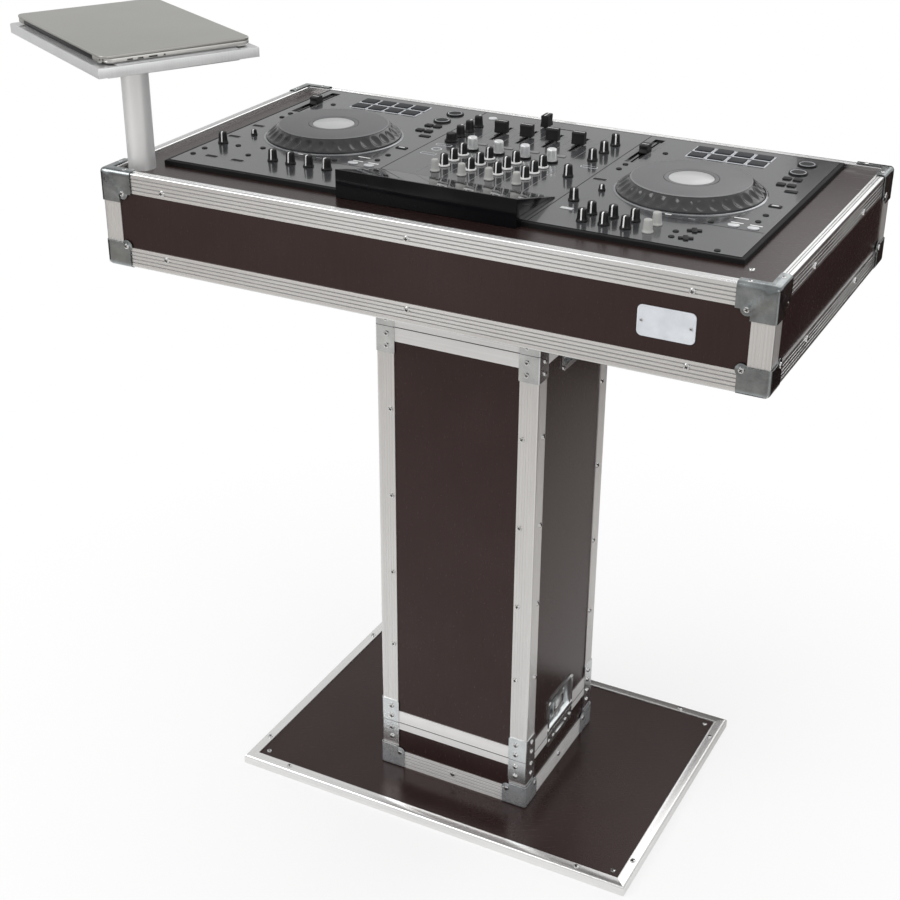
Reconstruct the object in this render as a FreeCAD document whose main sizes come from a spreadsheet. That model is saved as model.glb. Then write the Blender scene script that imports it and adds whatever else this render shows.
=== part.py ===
# DJ booth: a flight-case column on a foot plate carries a tray with a mixing console and a laptop stand.
# Millimetres, +Z up. The origin is on the floor, on the column's axis. The audience side is -Y.
import FreeCAD, Part
import os
from types import SimpleNamespace

import Sketcher
from FreeCAD import Placement, Rotation, Vector

SIZES = {
    # Foot plate and its edging
    "foot_length": 704,
    "foot_depth": 490,
    "foot_height": 16,
    "foot_setback": 8,
    "foot_flange": 18,
    "foot_edging_wall": 2,
    # Board and profile stock
    "board": 9,
    "board_fit": 0.1,
    "profile_wall": 1.5,
    "profile_flange": 30,
    "groove_width": 2,
    "groove_depth": 0.5,
    "steel": 1.2,
    "cut_overrun": 1,
    # Column, with the plinth below it and the head above it
    "column_width": 268,
    "plinth_top": 105,
    "column_length": 721,
    "head_height": 78,
    "socket_edging_height": 32,
    "column_rim_height": 23,
    "socket_rim_height": 14,
    "rim_land": 5,
    "rim_inner_height": 12,
    "tongue_inset": 5,
    "tongue_width": 2,
    "tongue_height": 3,
    "tongue_clearance": 0.3,
    "brace_height": 43,
    "brace_flange": 31,
    # Tray
    "tray_spare_length": 136,
    "tray_spare_depth": 103,
    "tray_height": 144,
    "tray_rim_width": 14,
    "deck_drop": 6,
    "batten_width": 24,
    "batten_height": 20,
    "batten_end_gap": 89,
    # Corner caps: reach along the edges, height, band width and round ear
    "upper_cap_reach": 53,
    "upper_cap_height": 47,
    "lower_cap_reach": 43,
    "lower_cap_height": 38,
    "plinth_cap_reach": 42,
    "plinth_cap_height": 41,
    "cap_band": 33,
    "cap_ear_radius": 9,
    "cap_round": 3.5,
    # Butterfly latches
    "latch_width": 102,
    "latch_flange": 9,
    "lower_dish_height": 68,
    "upper_dish_height": 58,
    "dish_depth": 11,
    "keeper_height": 27,
    "latch_corner": 10,
    "wing_width": 40,
    "wing_length": 26,
    "wing_thickness": 3,
    "wing_barrel_radius": 3,
    "wing_pin_radius": 1.4,
    "wing_clearance": 0.35,
    "wing_pivot_rise": 20,
    "wing_pivot_depth": 5.5,
    "lug_width": 4,
    # Laptop stand
    "pole_inset_x": 37,
    "pole_inset_y": 49,
    "pole_radius": 20,
    "pole_wall": 2,
    "pole_clearance": 0.3,
    "pole_foot_gap": 0.3,
    "socket_wall": 3,
    "socket_flange_radius": 24,
    "socket_flange_height": 6,
    "stand_turn": 61.3,
    "stand_rise": 187,
    "stand_spare_depth": 16,
    "stand_spare_width": 13,
    "stand_edge_height": 20,
    "stand_edge_wall": 2,
    "stand_edge_lip": 5,
    "stand_flange_radius": 34,
    "stand_flange_height": 4,
    # Laptop
    "laptop_width": 314,
    "laptop_depth": 219,
    "laptop_base_height": 7.5,
    "laptop_lid_height": 4,
    "laptop_gap": 0.4,
    "laptop_foot_height": 3.4,
    "laptop_foot_radius": 7,
    "laptop_foot_inset": 22,
    "laptop_corner": 11,
    "laptop_barrel_radius": 3.2,
    "laptop_barrel_inset": 11,
    # Console
    "console_length": 878,
    "console_depth": 455,
    "console_shift_x": -6,
    "console_shift_y": 32,
    "console_proud": 7,
    "console_face_height": 8,
    "console_case_height": 72,
    "console_wall": 3,
    "console_case_inset": 3,
    "cutout_clearance": 1.5,
    "mixer_width": 286,
    # Screen wedge
    "screen_gap": 8,
    "screen_rear_rise": 34,
    "screen_front_rise": 1.5,
    "screen_length": 125,
    "screen_overhang": 20.5,
    "screen_overhang_gap": 0.3,
    "glass_thickness": 2,
    "glass_margin": 7,
    # Jog wheels
    "jog_radius": 104,
    "jog_top_radius": 84,
    "jog_height": 20,
    "jog_skirt": 3,
    "jog_clearance": 0.4,
    "jog_spindle_radius": 14,
    "jog_spindle_height": 9,
    "jog_hub_radius": 31,
    "jog_hub_drop": 0.6,
    "jog_dimple_radius": 9,
    "jog_dimple_count": 28,
    "jog_y": 221.5,
    # Knobs
    "spindle_radius": 3,
    "spindle_height": 10,
    "knob_clearance": 0.4,
    "knob_skirt_radius": 8.2,
    "knob_skirt_height": 2,
    "knob_radius": 6.6,
    "knob_top_radius": 5.6,
    "knob_height": 21,
    "knob_edge": 1,
    "colour_knob_radius": 7.6,
    "trim_knob_radius": 6,
    # Rows on the face, measured from its audience edge at this depth of face
    "rows_depth": 455,
    # Channel strips
    "channel_pitch": 43.5,
    "channel_shift": -2.5,
    "trim_y": 134.5,
    "eq_y": 163.5,
    "eq_pitch": 30.5,
    "colour_y": 255,
    "fader_y": 355.5,
    "fader_travel": 60,
    "crossfader_y": 422.5,
    "crossfader_travel": 45,
    "crossfader_offset": -19,
    # Fader caps
    "slot_width": 3.2,
    "slot_margin": 4,
    "cap_width": 20,
    "cap_length": 11,
    "cap_waist": 7.5,
    "cap_height": 20,
    "cap_lift": 2,
    "blade_thickness": 2.2,
    "blade_length": 7,
    "blade_depth": 14,
    # Pitch faders
    "pitch_inset": 20,
    "pitch_y": 375.5,
    "pitch_travel": 100,
    "pitch_well_width": 16,
    "pitch_well_depth": 2.5,
    "pitch_cap_width": 13,
    "pitch_cap_length": 22,
    "pitch_cap_height": 13,
    "pitch_cap_waist": 19,
    # Pads and buttons
    "pad_pitch_x": 31,
    "pad_pitch_y": 32,
    "pad_width": 25,
    "pad_depth": 22,
    "pad_height": 2.5,
    "pads_shift": -4,
    "pads_y": 406.5,
    "transport_shift": 109,
    "play_y": 418.5,
    "cue_y": 373.5,
    "transport_radius": 14,
    "transport_rise": 2.5,
    "transport_stem": 6,
    "button_clearance": 0.4,
    "small_button_radius": 4,
    "small_button_rise": 1.8,
    # Remaining knobs on the decks and beside the channel strips
    "rear_knob_y": 32.5,
    "rear_knob_pitch": 31,
    "rear_knob_row": 33,
    "rear_knob_shift": -37,
    "left_rear_shift": 36,
    "side_column_offset": 114.5,
    "right_column_y": 203.5,
    "right_column_pitch": 44.5,
    "left_column_y": 280.5,
    "left_column_pitch": 31,
    "tone_knob_inset": 20,
    "tone_knob_y": 107.5,
    "small_knob_inset": 37,
    "small_knob_y": 166.5,
    "small_knob_height": 9,
    "call_button_shift": 100,
    "call_button_pitch": 27,
    "call_button_y": 110.5,
    "select_button_shift": 62,
    "search_button_y": 328.5,
    "search_button_pitch": 14,
}

doc = FreeCAD.newDocument("dj_booth")
sheet = doc.addObject("Spreadsheet::Sheet", "sizes")
for row, (alias, amount) in enumerate(SIZES.items(), start=1):
    sheet.set(f"A{row}", alias)
    sheet.set(f"B{row}", str(amount))
    sheet.setAlias(f"B{row}", alias)
doc.recompute()


class Size:
    """A length that carries its spreadsheet expression beside its present value."""

    def __init__(self, text, value):
        self.text = text
        self.value = value

    def __add__(self, other):
        return Size(f"({self.text} + {expression(other)})", self.value + amount_of(other))

    def __radd__(self, other):
        return Size(f"({expression(other)} + {self.text})", amount_of(other) + self.value)

    def __sub__(self, other):
        return Size(f"({self.text} - {expression(other)})", self.value - amount_of(other))

    def __rsub__(self, other):
        return Size(f"({expression(other)} - {self.text})", amount_of(other) - self.value)

    def __mul__(self, other):
        return Size(f"({self.text} * {expression(other)})", self.value * amount_of(other))

    def __rmul__(self, other):
        return Size(f"({expression(other)} * {self.text})", amount_of(other) * self.value)

    def __truediv__(self, other):
        return Size(f"({self.text} / {expression(other)})", self.value / amount_of(other))

    def __neg__(self):
        return Size(f"(0 - {self.text})", -self.value)


def expression(value):
    """The spreadsheet expression of a size or of a plain number."""
    return value.text if isinstance(value, Size) else f"({float(value)})"


def amount_of(value):
    """The present value of a size or of a plain number."""
    return value.value if isinstance(value, Size) else float(value)


S = SimpleNamespace(**{alias: Size(f"sizes.{alias}", float(amount)) for alias, amount in SIZES.items()})

# Sizes that follow from others
S.column_top = S.plinth_top + S.column_length
S.tray_bottom = S.column_top + S.head_height
S.tray_length = S.console_length + S.tray_spare_length
S.tray_depth = S.console_depth + S.tray_spare_depth
S.batten_length = S.tray_depth - 2 * S.batten_end_gap
S.stand_top = S.tray_bottom + S.tray_height + S.stand_rise
S.stand_depth = S.laptop_depth + S.stand_spare_depth
S.stand_width = S.laptop_width + S.stand_spare_width
S.laptop_barrel_length = S.laptop_width - 2 * S.laptop_barrel_inset
S.screen_width = S.mixer_width - S.screen_gap

# The rows of the console follow its depth: places from the audience edge, and steps between rows.
FACE_EDGE = S.console_shift_y - S.console_depth / 2
FACE_SHARE = S.console_depth / S.rows_depth
ROW_PLACES = (
    "trim_y", "eq_y", "colour_y", "fader_y", "crossfader_y", "pitch_y", "pads_y", "play_y", "cue_y", "jog_y",
    "rear_knob_y", "right_column_y", "left_column_y", "tone_knob_y", "small_knob_y", "call_button_y",
    "search_button_y",
)
ROW_STEPS = ("eq_pitch", "right_column_pitch", "left_column_pitch", "rear_knob_row", "screen_length")
for row_name in ROW_PLACES:
    setattr(S, row_name, FACE_EDGE + getattr(S, row_name) * FACE_SHARE)
for step_name in ROW_STEPS:
    setattr(S, step_name, getattr(S, step_name) * FACE_SHARE)

# Axis turns: a profile drawn in XY that runs along X, along Y, or stands in the XZ plane.
ALONG_X = Rotation(Vector(1, 1, 1), 120)
ALONG_Y = Rotation(Vector(0, 0, 1), 180) * Rotation(Vector(1, 0, 0), 90)
UPRIGHT = Rotation(Vector(1, 0, 0), 90)
FLAT = Rotation()
MIRROR_X = Vector(1, 0, 0)
MIRROR_Y = Vector(0, 1, 0)
nodes = []


def bind(item, **properties):
    """Ties properties of a document object to sizes."""
    for name, value in properties.items():
        item.setExpression(name, expression(value))
    return item


def place(item, x=0, y=0, z=0, turn=FLAT):
    """Puts an object at a point that follows the sizes."""
    item.Placement = Placement(Vector(amount_of(x), amount_of(y), amount_of(z)), turn)
    for axis, value in zip("xyz", (x, y, z)):
        item.setExpression(f"Placement.Base.{axis}", expression(value))
    return item


def box(name, low, high):
    """A block from its low corner to its high corner."""
    block = doc.addObject("Part::Box", name)
    bind(block, Length=high[0] - low[0], Width=high[1] - low[1], Height=high[2] - low[2])
    return place(block, *low)


def cylinder(name, radius, height, x=0, y=0, z=0, turn=FLAT):
    """A round bar from its foot."""
    bar = bind(doc.addObject("Part::Cylinder", name), Radius=radius, Height=height)
    return place(bar, x, y, z, turn)


def fuse(name, *parts):
    """One solid from several."""
    whole = doc.addObject("Part::MultiFuse", name)
    whole.Shapes = list(parts)
    whole.Refine = True
    return whole


def cut(name, base, *tools):
    """A solid less one or more tools."""
    result = doc.addObject("Part::Cut", name)
    result.Base = base
    result.Tool = tools[0] if len(tools) == 1 else group(f"{name}_tools", *tools)
    return result


def group(name, *parts):
    """Separate solids kept together."""
    bundle = doc.addObject("Part::Compound", name)
    bundle.Links = list(parts)
    return bundle


def mirrored(item, normal):
    """The item's reflection in a plane through the origin."""
    image = doc.addObject("Part::Mirroring", f"{item.Name}_mirrored")
    image.Source = item
    image.Base = Vector(0, 0, 0)
    image.Normal = normal
    return image


def both_sides(name, *parts):
    """The parts and their reflections left and right."""
    return group(name, *parts, *(mirrored(part, MIRROR_X) for part in parts))


def all_round(name, *parts):
    """The parts at the right front, repeated at the other three corners."""
    half = both_sides(f"{name}_half", *parts)
    return group(name, half, mirrored(half, MIRROR_Y))


def outline(sketch, points):
    """Draws a closed outline whose corners follow the sizes."""
    first = sketch.GeometryCount
    corners = [Vector(amount_of(u), amount_of(v), 0) for u, v in points]
    count = len(corners)
    for index in range(count):
        sketch.addGeometry(Part.LineSegment(corners[index], corners[(index + 1) % count]))
    for index in range(count):
        after = first + (index + 1) % count
        sketch.addConstraint(Sketcher.Constraint("Coincident", first + index, 2, after, 1))
    for index, (u, v) in enumerate(points):
        for kind, value in (("DistanceX", u), ("DistanceY", v)):
            fixed = Sketcher.Constraint(kind, -1, 1, first + index, 1, amount_of(value))
            number = sketch.addConstraint(fixed)
            sketch.setExpression(f"Constraints[{number}]", expression(value))
    return sketch


def profile(name, points, length, x=0, y=0, z=0, turn=FLAT):
    """A section drawn at a point and drawn out to a length."""
    sketch = outline(doc.addObject("Sketcher::SketchObject", f"{name}_section"), points)
    place(sketch, x, y, z, turn)
    bar = doc.addObject("Part::Extrusion", name)
    bar.Base = sketch
    bar.DirMode = "Normal"
    bar.Solid = True
    return bind(bar, LengthFwd=length)


def turned(name, points, x=0, y=0, z=0):
    """A half section of radii and heights, revolved about an upright axis."""
    sketch = outline(doc.addObject("Sketcher::SketchObject", f"{name}_section"), points)
    place(sketch, turn=UPRIGHT)
    solid = doc.addObject("Part::Revolution", name)
    solid.Source = sketch
    solid.Axis = Vector(0, 0, 1)
    solid.Base = Vector(0, 0, 0)
    solid.Angle = 360
    solid.Solid = True
    return place(solid, x, y, z)


def rounded(name, base, radius, chosen):
    """Rounds the edges whose middle the test chooses."""
    doc.recompute()
    fillet = doc.addObject("Part::Fillet", name)
    fillet.Base = base
    edges = base.Shape.Edges
    limit = amount_of(radius)
    fillet.Edges = [(index, limit, limit) for index, edge in enumerate(edges, start=1) if chosen(edge)]
    return fillet


def node(label, item):
    """Names a finished sub-part."""
    item.Label = label
    nodes.append(item)
    return item


# Flight-case profiles


def grooved(length, count):
    """Positions and depths along a face with evenly spaced grooves."""
    path = [(0, 0)]
    for index in range(count):
        middle = length * (index + 1) / (count + 1)
        near = middle - S.groove_width / 2
        far = middle + S.groove_width / 2
        path += [(near, 0), (near, S.groove_depth), (far, S.groove_depth), (far, 0)]
    return path + [(length, 0)]


def angle_section(run_u, run_v, wall, grooves_u, grooves_v):
    """An L-shaped section with its outer corner at the origin and grooves on both outer faces."""
    along_u = [(run, depth) for run, depth in grooved(run_u, grooves_u)]
    along_v = [(depth, run) for run, depth in reversed(grooved(run_v, grooves_v))]
    return along_u + [(run_u, wall), (wall, wall), (wall, run_v)] + along_v[:-1]


def mitred_frame(name, half_x, half_y, z, section, reach, gap=None):
    """Four lengths of a section round a rectangle, mitred at the corners.

    The section's first coordinate runs inwards from the outer face, and its second upwards from z.
    A gap interrupts the two side lengths in the middle.
    """
    front = profile(f"{name}_front", section, 2 * half_x, -half_x, -half_y, z, ALONG_X)
    side = profile(f"{name}_side", section, 2 * half_y, half_x, -half_y, z, ALONG_Y)
    low = z - reach
    tools = []
    for label, turn, points in (
        ("front", 45, ((half_x, -half_y), (-half_x, -half_y))),
        ("side", 135, ((half_x, -half_y), (half_x, half_y))),
    ):
        pair = []
        for end, (x, y) in enumerate(points):
            tool = doc.addObject("Part::Box", f"{name}_{label}_mitre_{end}")
            bind(tool, Length=2 * reach, Width=2 * reach, Height=2 * reach)
            pair.append(place(tool, x, y, low, Rotation(Vector(0, 0, 1), turn)))
        tools.append(pair)
    if gap is not None:
        tools[1].append(box(f"{name}_gap", (half_x - reach, -gap / 2, low), (half_x + reach, gap / 2, z + reach)))
    front = cut(f"{name}_front_length", front, *tools[0])
    side = cut(f"{name}_side_length", side, *tools[1])
    return group(name, front, mirrored(front, MIRROR_Y), side, mirrored(side, MIRROR_X))


def wall_set(name, half_x, half_y, low, high):
    """Four boards that fit inside the profiles: long ones at front and back, short ones between them."""
    fit = S.board_fit
    outer = S.profile_wall + fit
    inner = S.profile_wall + S.board - fit
    meet = S.profile_wall + S.board
    front = box(f"{name}_front", (outer - half_x, outer - half_y, low), (half_x - outer, inner - half_y, high))
    side = box(f"{name}_side", (half_x - inner, meet - half_y, low), (half_x - outer, half_y - meet, high))
    return front, side


def corner_angle(name, half_x, half_y, low, high):
    """An upright grooved angle over the right front edge."""
    section = angle_section(S.profile_flange, S.profile_flange, S.profile_wall, 3, 3)
    outward = [(-u, v) for u, v in section]
    return profile(name, outward, high - low, half_x, -half_y, low)


# Foot


def build_foot():
    """The foot plate and the edging round it."""
    half_x = S.foot_length / 2
    half_y = S.foot_depth / 2
    wall = S.foot_edging_wall
    plate = doc.addObject("PartDesign::Body", "foot_plate")
    sketch = plate.newObject("Sketcher::SketchObject", "foot_plate_outline")
    base_plane = [item for item in plate.Origin.OriginFeatures if item.Role == "XY_Plane"]
    sketch.AttachmentSupport = [(base_plane[0], "")]
    sketch.MapMode = "FlatFace"
    reach_x = half_x - wall
    reach_y = half_y - wall
    outline(sketch, [(-reach_x, -reach_y), (reach_x, -reach_y), (reach_x, reach_y), (-reach_x, reach_y)])
    pad = plate.newObject("PartDesign::Pad", "foot_plate_board")
    pad.Profile = sketch
    bind(pad, Length=S.foot_height - wall)
    node("foot_plate", place(plate, y=S.foot_setback))
    top = [(run, S.foot_height - depth) for run, depth in grooved(S.foot_flange, 3)]
    under = [(S.foot_flange, S.foot_height - wall), (wall, S.foot_height - wall), (wall, 0), (0, 0)]
    edging = mitred_frame("foot_edging", half_x, half_y, 0, top + under, 2 * S.foot_flange)
    node("foot_edging", place(edging, y=S.foot_setback))


# Column, plinth and head


def closing_section(height, side, tongue):
    """The section that closes a board's edge at a split, with its tongue or groove.

    side is 1 where the board stands above the split and -1 where it hangs below it.
    """
    wall = S.profile_wall
    inner = wall + S.board
    back = inner + wall
    spare = 0 if tongue else S.tongue_clearance
    near = S.tongue_inset - spare
    far = S.tongue_inset + S.tongue_width + spare
    depth = -S.tongue_height if tongue else S.tongue_height + spare
    outer = [(depth_in, run) for run, depth_in in reversed(grooved(height, 2))]
    land = [(near, 0), (near, depth), (far, depth), (far, 0), (back, 0), (back, S.rim_inner_height)]
    seat = [(inner, S.rim_inner_height), (inner, S.rim_land), (wall, S.rim_land), (wall, height)]
    return [(u, side * v) for u, v in outer + land + seat]


def build_column():
    """Plinth, column and head: boards, edging, closing rims, corner angles and braces."""
    half = S.column_width / 2
    wall = S.profile_wall
    plinth_low = S.foot_height - S.foot_edging_wall
    head_top = S.tray_bottom + wall
    land = S.rim_land
    panels = [
        *wall_set("plinth_wall", half, half, plinth_low + wall, S.plinth_top - land),
        *wall_set("column_wall", half, half, S.plinth_top + land, S.column_top - land),
        *wall_set("head_wall", half, half, S.column_top + land, head_top - wall),
    ]
    panels = [open_for_latches(panel, half) if index in (1, 3, 5) else panel for index, panel in enumerate(panels)]
    inner = half - wall - S.board
    floor_low = plinth_low + wall
    floor = box("plinth_floor", (-inner, -inner, floor_low), (inner, inner, floor_low + S.board))
    fronts = panels[0::2]
    sides = panels[1::2]
    boards = fronts + [mirrored(panel, MIRROR_Y) for panel in fronts]
    boards += sides + [mirrored(panel, MIRROR_X) for panel in sides]
    node("case_panels", group("case_panels", *boards, floor))

    flange = S.profile_flange
    lower = angle_section(flange, S.socket_edging_height, wall, 0, 2)
    upper = [(u, -v) for u, v in lower]
    reach = 2 * S.profile_flange
    edging = group(
        "socket_edging",
        mitred_frame("plinth_edging", half, half, plinth_low, lower, reach),
        mitred_frame("head_edging", half, half, head_top, upper, reach),
    )
    node("socket_edging", edging)

    gap = S.latch_width
    rims = []
    for name, split, side in (("bottom", S.plinth_top, 1), ("top", S.column_top, -1)):
        column = closing_section(S.column_rim_height, side, True)
        socket = closing_section(S.socket_rim_height, -side, False)
        rims.append(mitred_frame(f"column_{name}_rim", half, half, split, column, reach, gap))
        rims.append(mitred_frame(f"socket_{name}_rim", half, half, split, socket, reach, gap))
    node("closing_rims", group("closing_rims", *rims))

    spans = (
        ("plinth", plinth_low + S.socket_edging_height, S.plinth_top - S.socket_rim_height),
        ("column", S.plinth_top + S.column_rim_height, S.column_top - S.column_rim_height),
        ("head", S.column_top + S.socket_rim_height, head_top - S.socket_edging_height),
    )
    angles = [corner_angle(f"{name}_angle", half, half, low, high) for name, low, high in spans]
    tray_angle = corner_angle(
        "tray_angle",
        S.tray_length / 2,
        S.tray_depth / 2,
        S.tray_bottom + S.profile_flange,
        S.tray_bottom + S.tray_height - S.profile_flange,
    )
    node("corner_angles", all_round("corner_angles", *angles, tray_angle))

    steel = S.steel
    leg = S.brace_flange
    brace = [(steel, -steel), (steel, leg), (0, leg), (0, 0), (-leg, 0), (-leg, -steel)]
    braces = []
    for name, split in (("bottom", S.plinth_top), ("top", S.column_top)):
        for side, low in (("below", split - S.brace_height), ("above", split)):
            bar = profile(f"brace_{name}_{side}", brace, S.brace_height, half, -half, low)
            braces.append(rounded(f"{bar.Name}_bent", bar, 2 * steel / 3, outer_corner(half, steel)))
    node("corner_braces", all_round("corner_braces", *braces))


def outer_corner(half, steel):
    """A test for the upright edge at a brace's outside corner."""
    x = amount_of(half + steel)

    def chosen(edge):
        ends = [vertex.Point for vertex in edge.Vertexes]
        return all(abs(end.x - x) < 1e-6 and abs(end.y + x) < 1e-6 for end in ends)

    return chosen


def open_for_latches(panel, half):
    """Cuts a side board where the latches' dishes and hooks pass through it."""
    width = S.latch_width - 2 * S.latch_flange + S.cut_overrun
    inner = half - S.profile_wall - S.board
    tools = []
    for name, split, side, dish in latch_places():
        near = split - side * S.keeper_height
        far = split + side * (dish - S.latch_flange + S.cut_overrun)
        low, high = (near, far) if side > 0 else (far, near)
        opening_low = (inner - S.cut_overrun, -width / 2, low)
        tools.append(box(f"{panel.Name}_{name}_opening", opening_low, (half, width / 2, high)))
    return cut(f"{panel.Name}_cut", panel, *tools)


# Latches


def latch_places():
    """Name, split height, direction into the column and dish height of each latch."""
    return (
        ("lower", S.plinth_top, 1, S.lower_dish_height),
        ("upper", S.column_top, -1, S.upper_dish_height),
    )


def ordered(split, side, near, far):
    """Low and high ends of a stretch measured from a split."""
    return (split + side * near, split + side * far) if side > 0 else (split + side * far, split + side * near)


def build_latches():
    """Recessed dishes with their keepers, and a folding wing in each dish."""
    half = S.column_width / 2
    wall = S.profile_wall
    width = S.latch_width
    frame = S.latch_flange
    pan_half = width / 2 - frame
    dishes = []
    for name, split, side, height in latch_places():
        corner = S.latch_corner
        face = [
            (-width / 2, 0),
            (width / 2, 0),
            (width / 2, side * (height - corner)),
            (width / 2 - corner, side * height),
            (corner - width / 2, side * height),
            (-width / 2, side * (height - corner)),
        ]
        plate = profile(f"dish_{name}_flange", face, wall, half - wall, 0, split, ALONG_X)
        low, high = ordered(split, side, 0, height - frame)
        pan = box(f"dish_{name}_pan", (half - S.dish_depth, -pan_half, low), (half, pan_half, high))
        sheet_wall = S.steel
        low_in, high_in = ordered(split, side, sheet_wall, height - frame - sheet_wall)
        hollow_low = (half - S.dish_depth + sheet_wall, sheet_wall - pan_half, low_in)
        hollow = box(f"dish_{name}_hollow", hollow_low, (half + wall, pan_half - sheet_wall, high_in))
        shell = cut(f"dish_{name}_shell", fuse(f"dish_{name}_blank", plate, pan), hollow)
        dishes.append(fuse(f"dish_{name}", shell, *wing_bearing(name, split, side)))
        low, high = ordered(split, -side, 0, S.keeper_height)
        keeper = box(f"keeper_{name}_plate", (half - wall, -width / 2, low), (half, width / 2, high))
        low, high = ordered(split, -side, 0, S.keeper_height - frame)
        slot = box(f"keeper_{name}_slot", (half - 2 * wall, -pan_half / 2, low), (half + wall, pan_half / 2, high))
        dishes.append(cut(f"keeper_{name}", keeper, slot))
        wing = build_wing(name, split, side)
        node(f"latch_wing_{name}_right", wing)
        node(f"latch_wing_{name}_left", mirrored(wing, MIRROR_X))
    node("latch_dishes", both_sides("latch_dishes", *dishes))


def wing_bearing(name, split, side):
    """The two lugs and the pin that carry a wing in its dish."""
    half = S.column_width / 2
    inside = S.wing_width / 2 + S.wing_clearance
    pivot_x = half - S.wing_pivot_depth
    pivot_z = split + side * S.wing_pivot_rise
    radius = S.wing_barrel_radius
    floor = half - S.dish_depth
    parts = []
    for label, near in (("near", -inside - S.lug_width), ("far", inside)):
        lug_low = (floor, near, pivot_z - radius)
        parts.append(box(f"lug_{name}_{label}", lug_low, (pivot_x, near + S.lug_width, pivot_z + radius)))
        eye = cylinder(f"lug_{name}_{label}_eye", radius, S.lug_width, pivot_x, near + S.lug_width, pivot_z, UPRIGHT)
        parts.append(eye)
    length = 2 * (inside + S.lug_width)
    pin = cylinder(f"pin_{name}", S.wing_pin_radius, length, pivot_x, inside + S.lug_width, pivot_z, UPRIGHT)
    return [*parts, pin]


def build_wing(name, split, side):
    """A latch wing folded flat in its dish: a plate with a barrel round the dish's pin."""
    half = S.column_width / 2
    pivot_x = half - S.wing_pivot_depth
    pivot_z = split + side * S.wing_pivot_rise
    reach = S.wing_width / 2
    radius = S.wing_barrel_radius
    barrel = cylinder(f"wing_{name}_barrel", radius, S.wing_width, pivot_x, reach, pivot_z, UPRIGHT)
    low, high = ordered(pivot_z, side, 0, S.wing_length)
    plate_low = (pivot_x + radius - S.wing_thickness, -reach, low)
    plate = box(f"wing_{name}_plate", plate_low, (pivot_x + radius, reach, high))
    bore_radius = S.wing_pin_radius + S.wing_clearance
    bore = cylinder(f"wing_{name}_bore", bore_radius, S.wing_width, pivot_x, reach, pivot_z, UPRIGHT)
    return cut(f"wing_{name}", fuse(f"wing_{name}_blank", barrel, plate), bore)


# Tray


def build_tray():
    """Tray boards, deck, battens and edging."""
    half_x = S.tray_length / 2
    half_y = S.tray_depth / 2
    wall = S.profile_wall
    top = S.tray_bottom + S.tray_height
    walls = wall_set("tray_wall", half_x, half_y, S.tray_bottom + wall, top - wall)
    sides = [walls[0], mirrored(walls[0], MIRROR_Y), walls[1], mirrored(walls[1], MIRROR_X)]
    node("tray_panels", group("tray_panels", *sides))

    in_x = half_x - wall - S.board
    in_y = half_y - wall - S.board
    floor_low = S.tray_bottom + wall
    floor_top = floor_low + S.board
    node("tray_floor", box("tray_floor", (-in_x, -in_y, floor_low), (in_x, in_y, floor_top)))

    deck_top = top - S.deck_drop
    deck_low = deck_top - S.board
    board = box("deck_board", (-in_x, -in_y, deck_low), (in_x, in_y, deck_top))
    opening_x = S.console_length / 2 + S.cutout_clearance
    opening_y = S.console_depth / 2 + S.cutout_clearance
    opening = box(
        "deck_opening",
        (S.console_shift_x - opening_x, S.console_shift_y - opening_y, deck_low - S.board),
        (S.console_shift_x + opening_x, S.console_shift_y + opening_y, deck_top + S.board),
    )
    pole_x, pole_y = pole_place()
    hole_radius = S.pole_radius + S.pole_clearance
    hole = cylinder("deck_pole_hole", hole_radius, 3 * S.board, pole_x, pole_y, deck_low - S.board)
    node("tray_deck", cut("tray_deck", board, opening, hole))

    rail_low = (in_x - S.batten_width, -S.batten_length / 2, deck_low - S.batten_height)
    rail = box("deck_rail", rail_low, (in_x, S.batten_length / 2, deck_low))
    case_bottom = deck_top + S.console_proud - S.console_face_height - S.console_case_height
    bearers = []
    for label, shift in (("front", -S.console_depth / 3), ("back", S.console_depth / 3)):
        middle = S.console_shift_y + shift
        reach = S.console_length / 2 - S.batten_width
        low = (S.console_shift_x - reach, middle - S.batten_width / 2, floor_top)
        high = (S.console_shift_x + reach, middle + S.batten_width / 2, case_bottom)
        bearers.append(box(f"console_bearer_{label}", low, high))
    node("tray_battens", group("tray_battens", rail, mirrored(rail, MIRROR_X), *bearers))

    flange = S.profile_flange
    inner = wall + S.board
    face = [(depth, -run) for run, depth in reversed(grooved(flange, 4))]
    lip = [(S.tray_rim_width, 0), (S.tray_rim_width, -S.deck_drop), (inner, -S.deck_drop), (inner, -wall)]
    rim = face + lip + [(wall, -wall), (wall, -flange)]
    reach = 2 * flange
    edging = group(
        "tray_edging",
        mitred_frame("tray_rim", half_x, half_y, top, rim, reach),
        mitred_frame("tray_foot", half_x, half_y, S.tray_bottom, angle_section(flange, flange, wall, 0, 4), reach),
    )
    node("tray_edging", edging)


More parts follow.
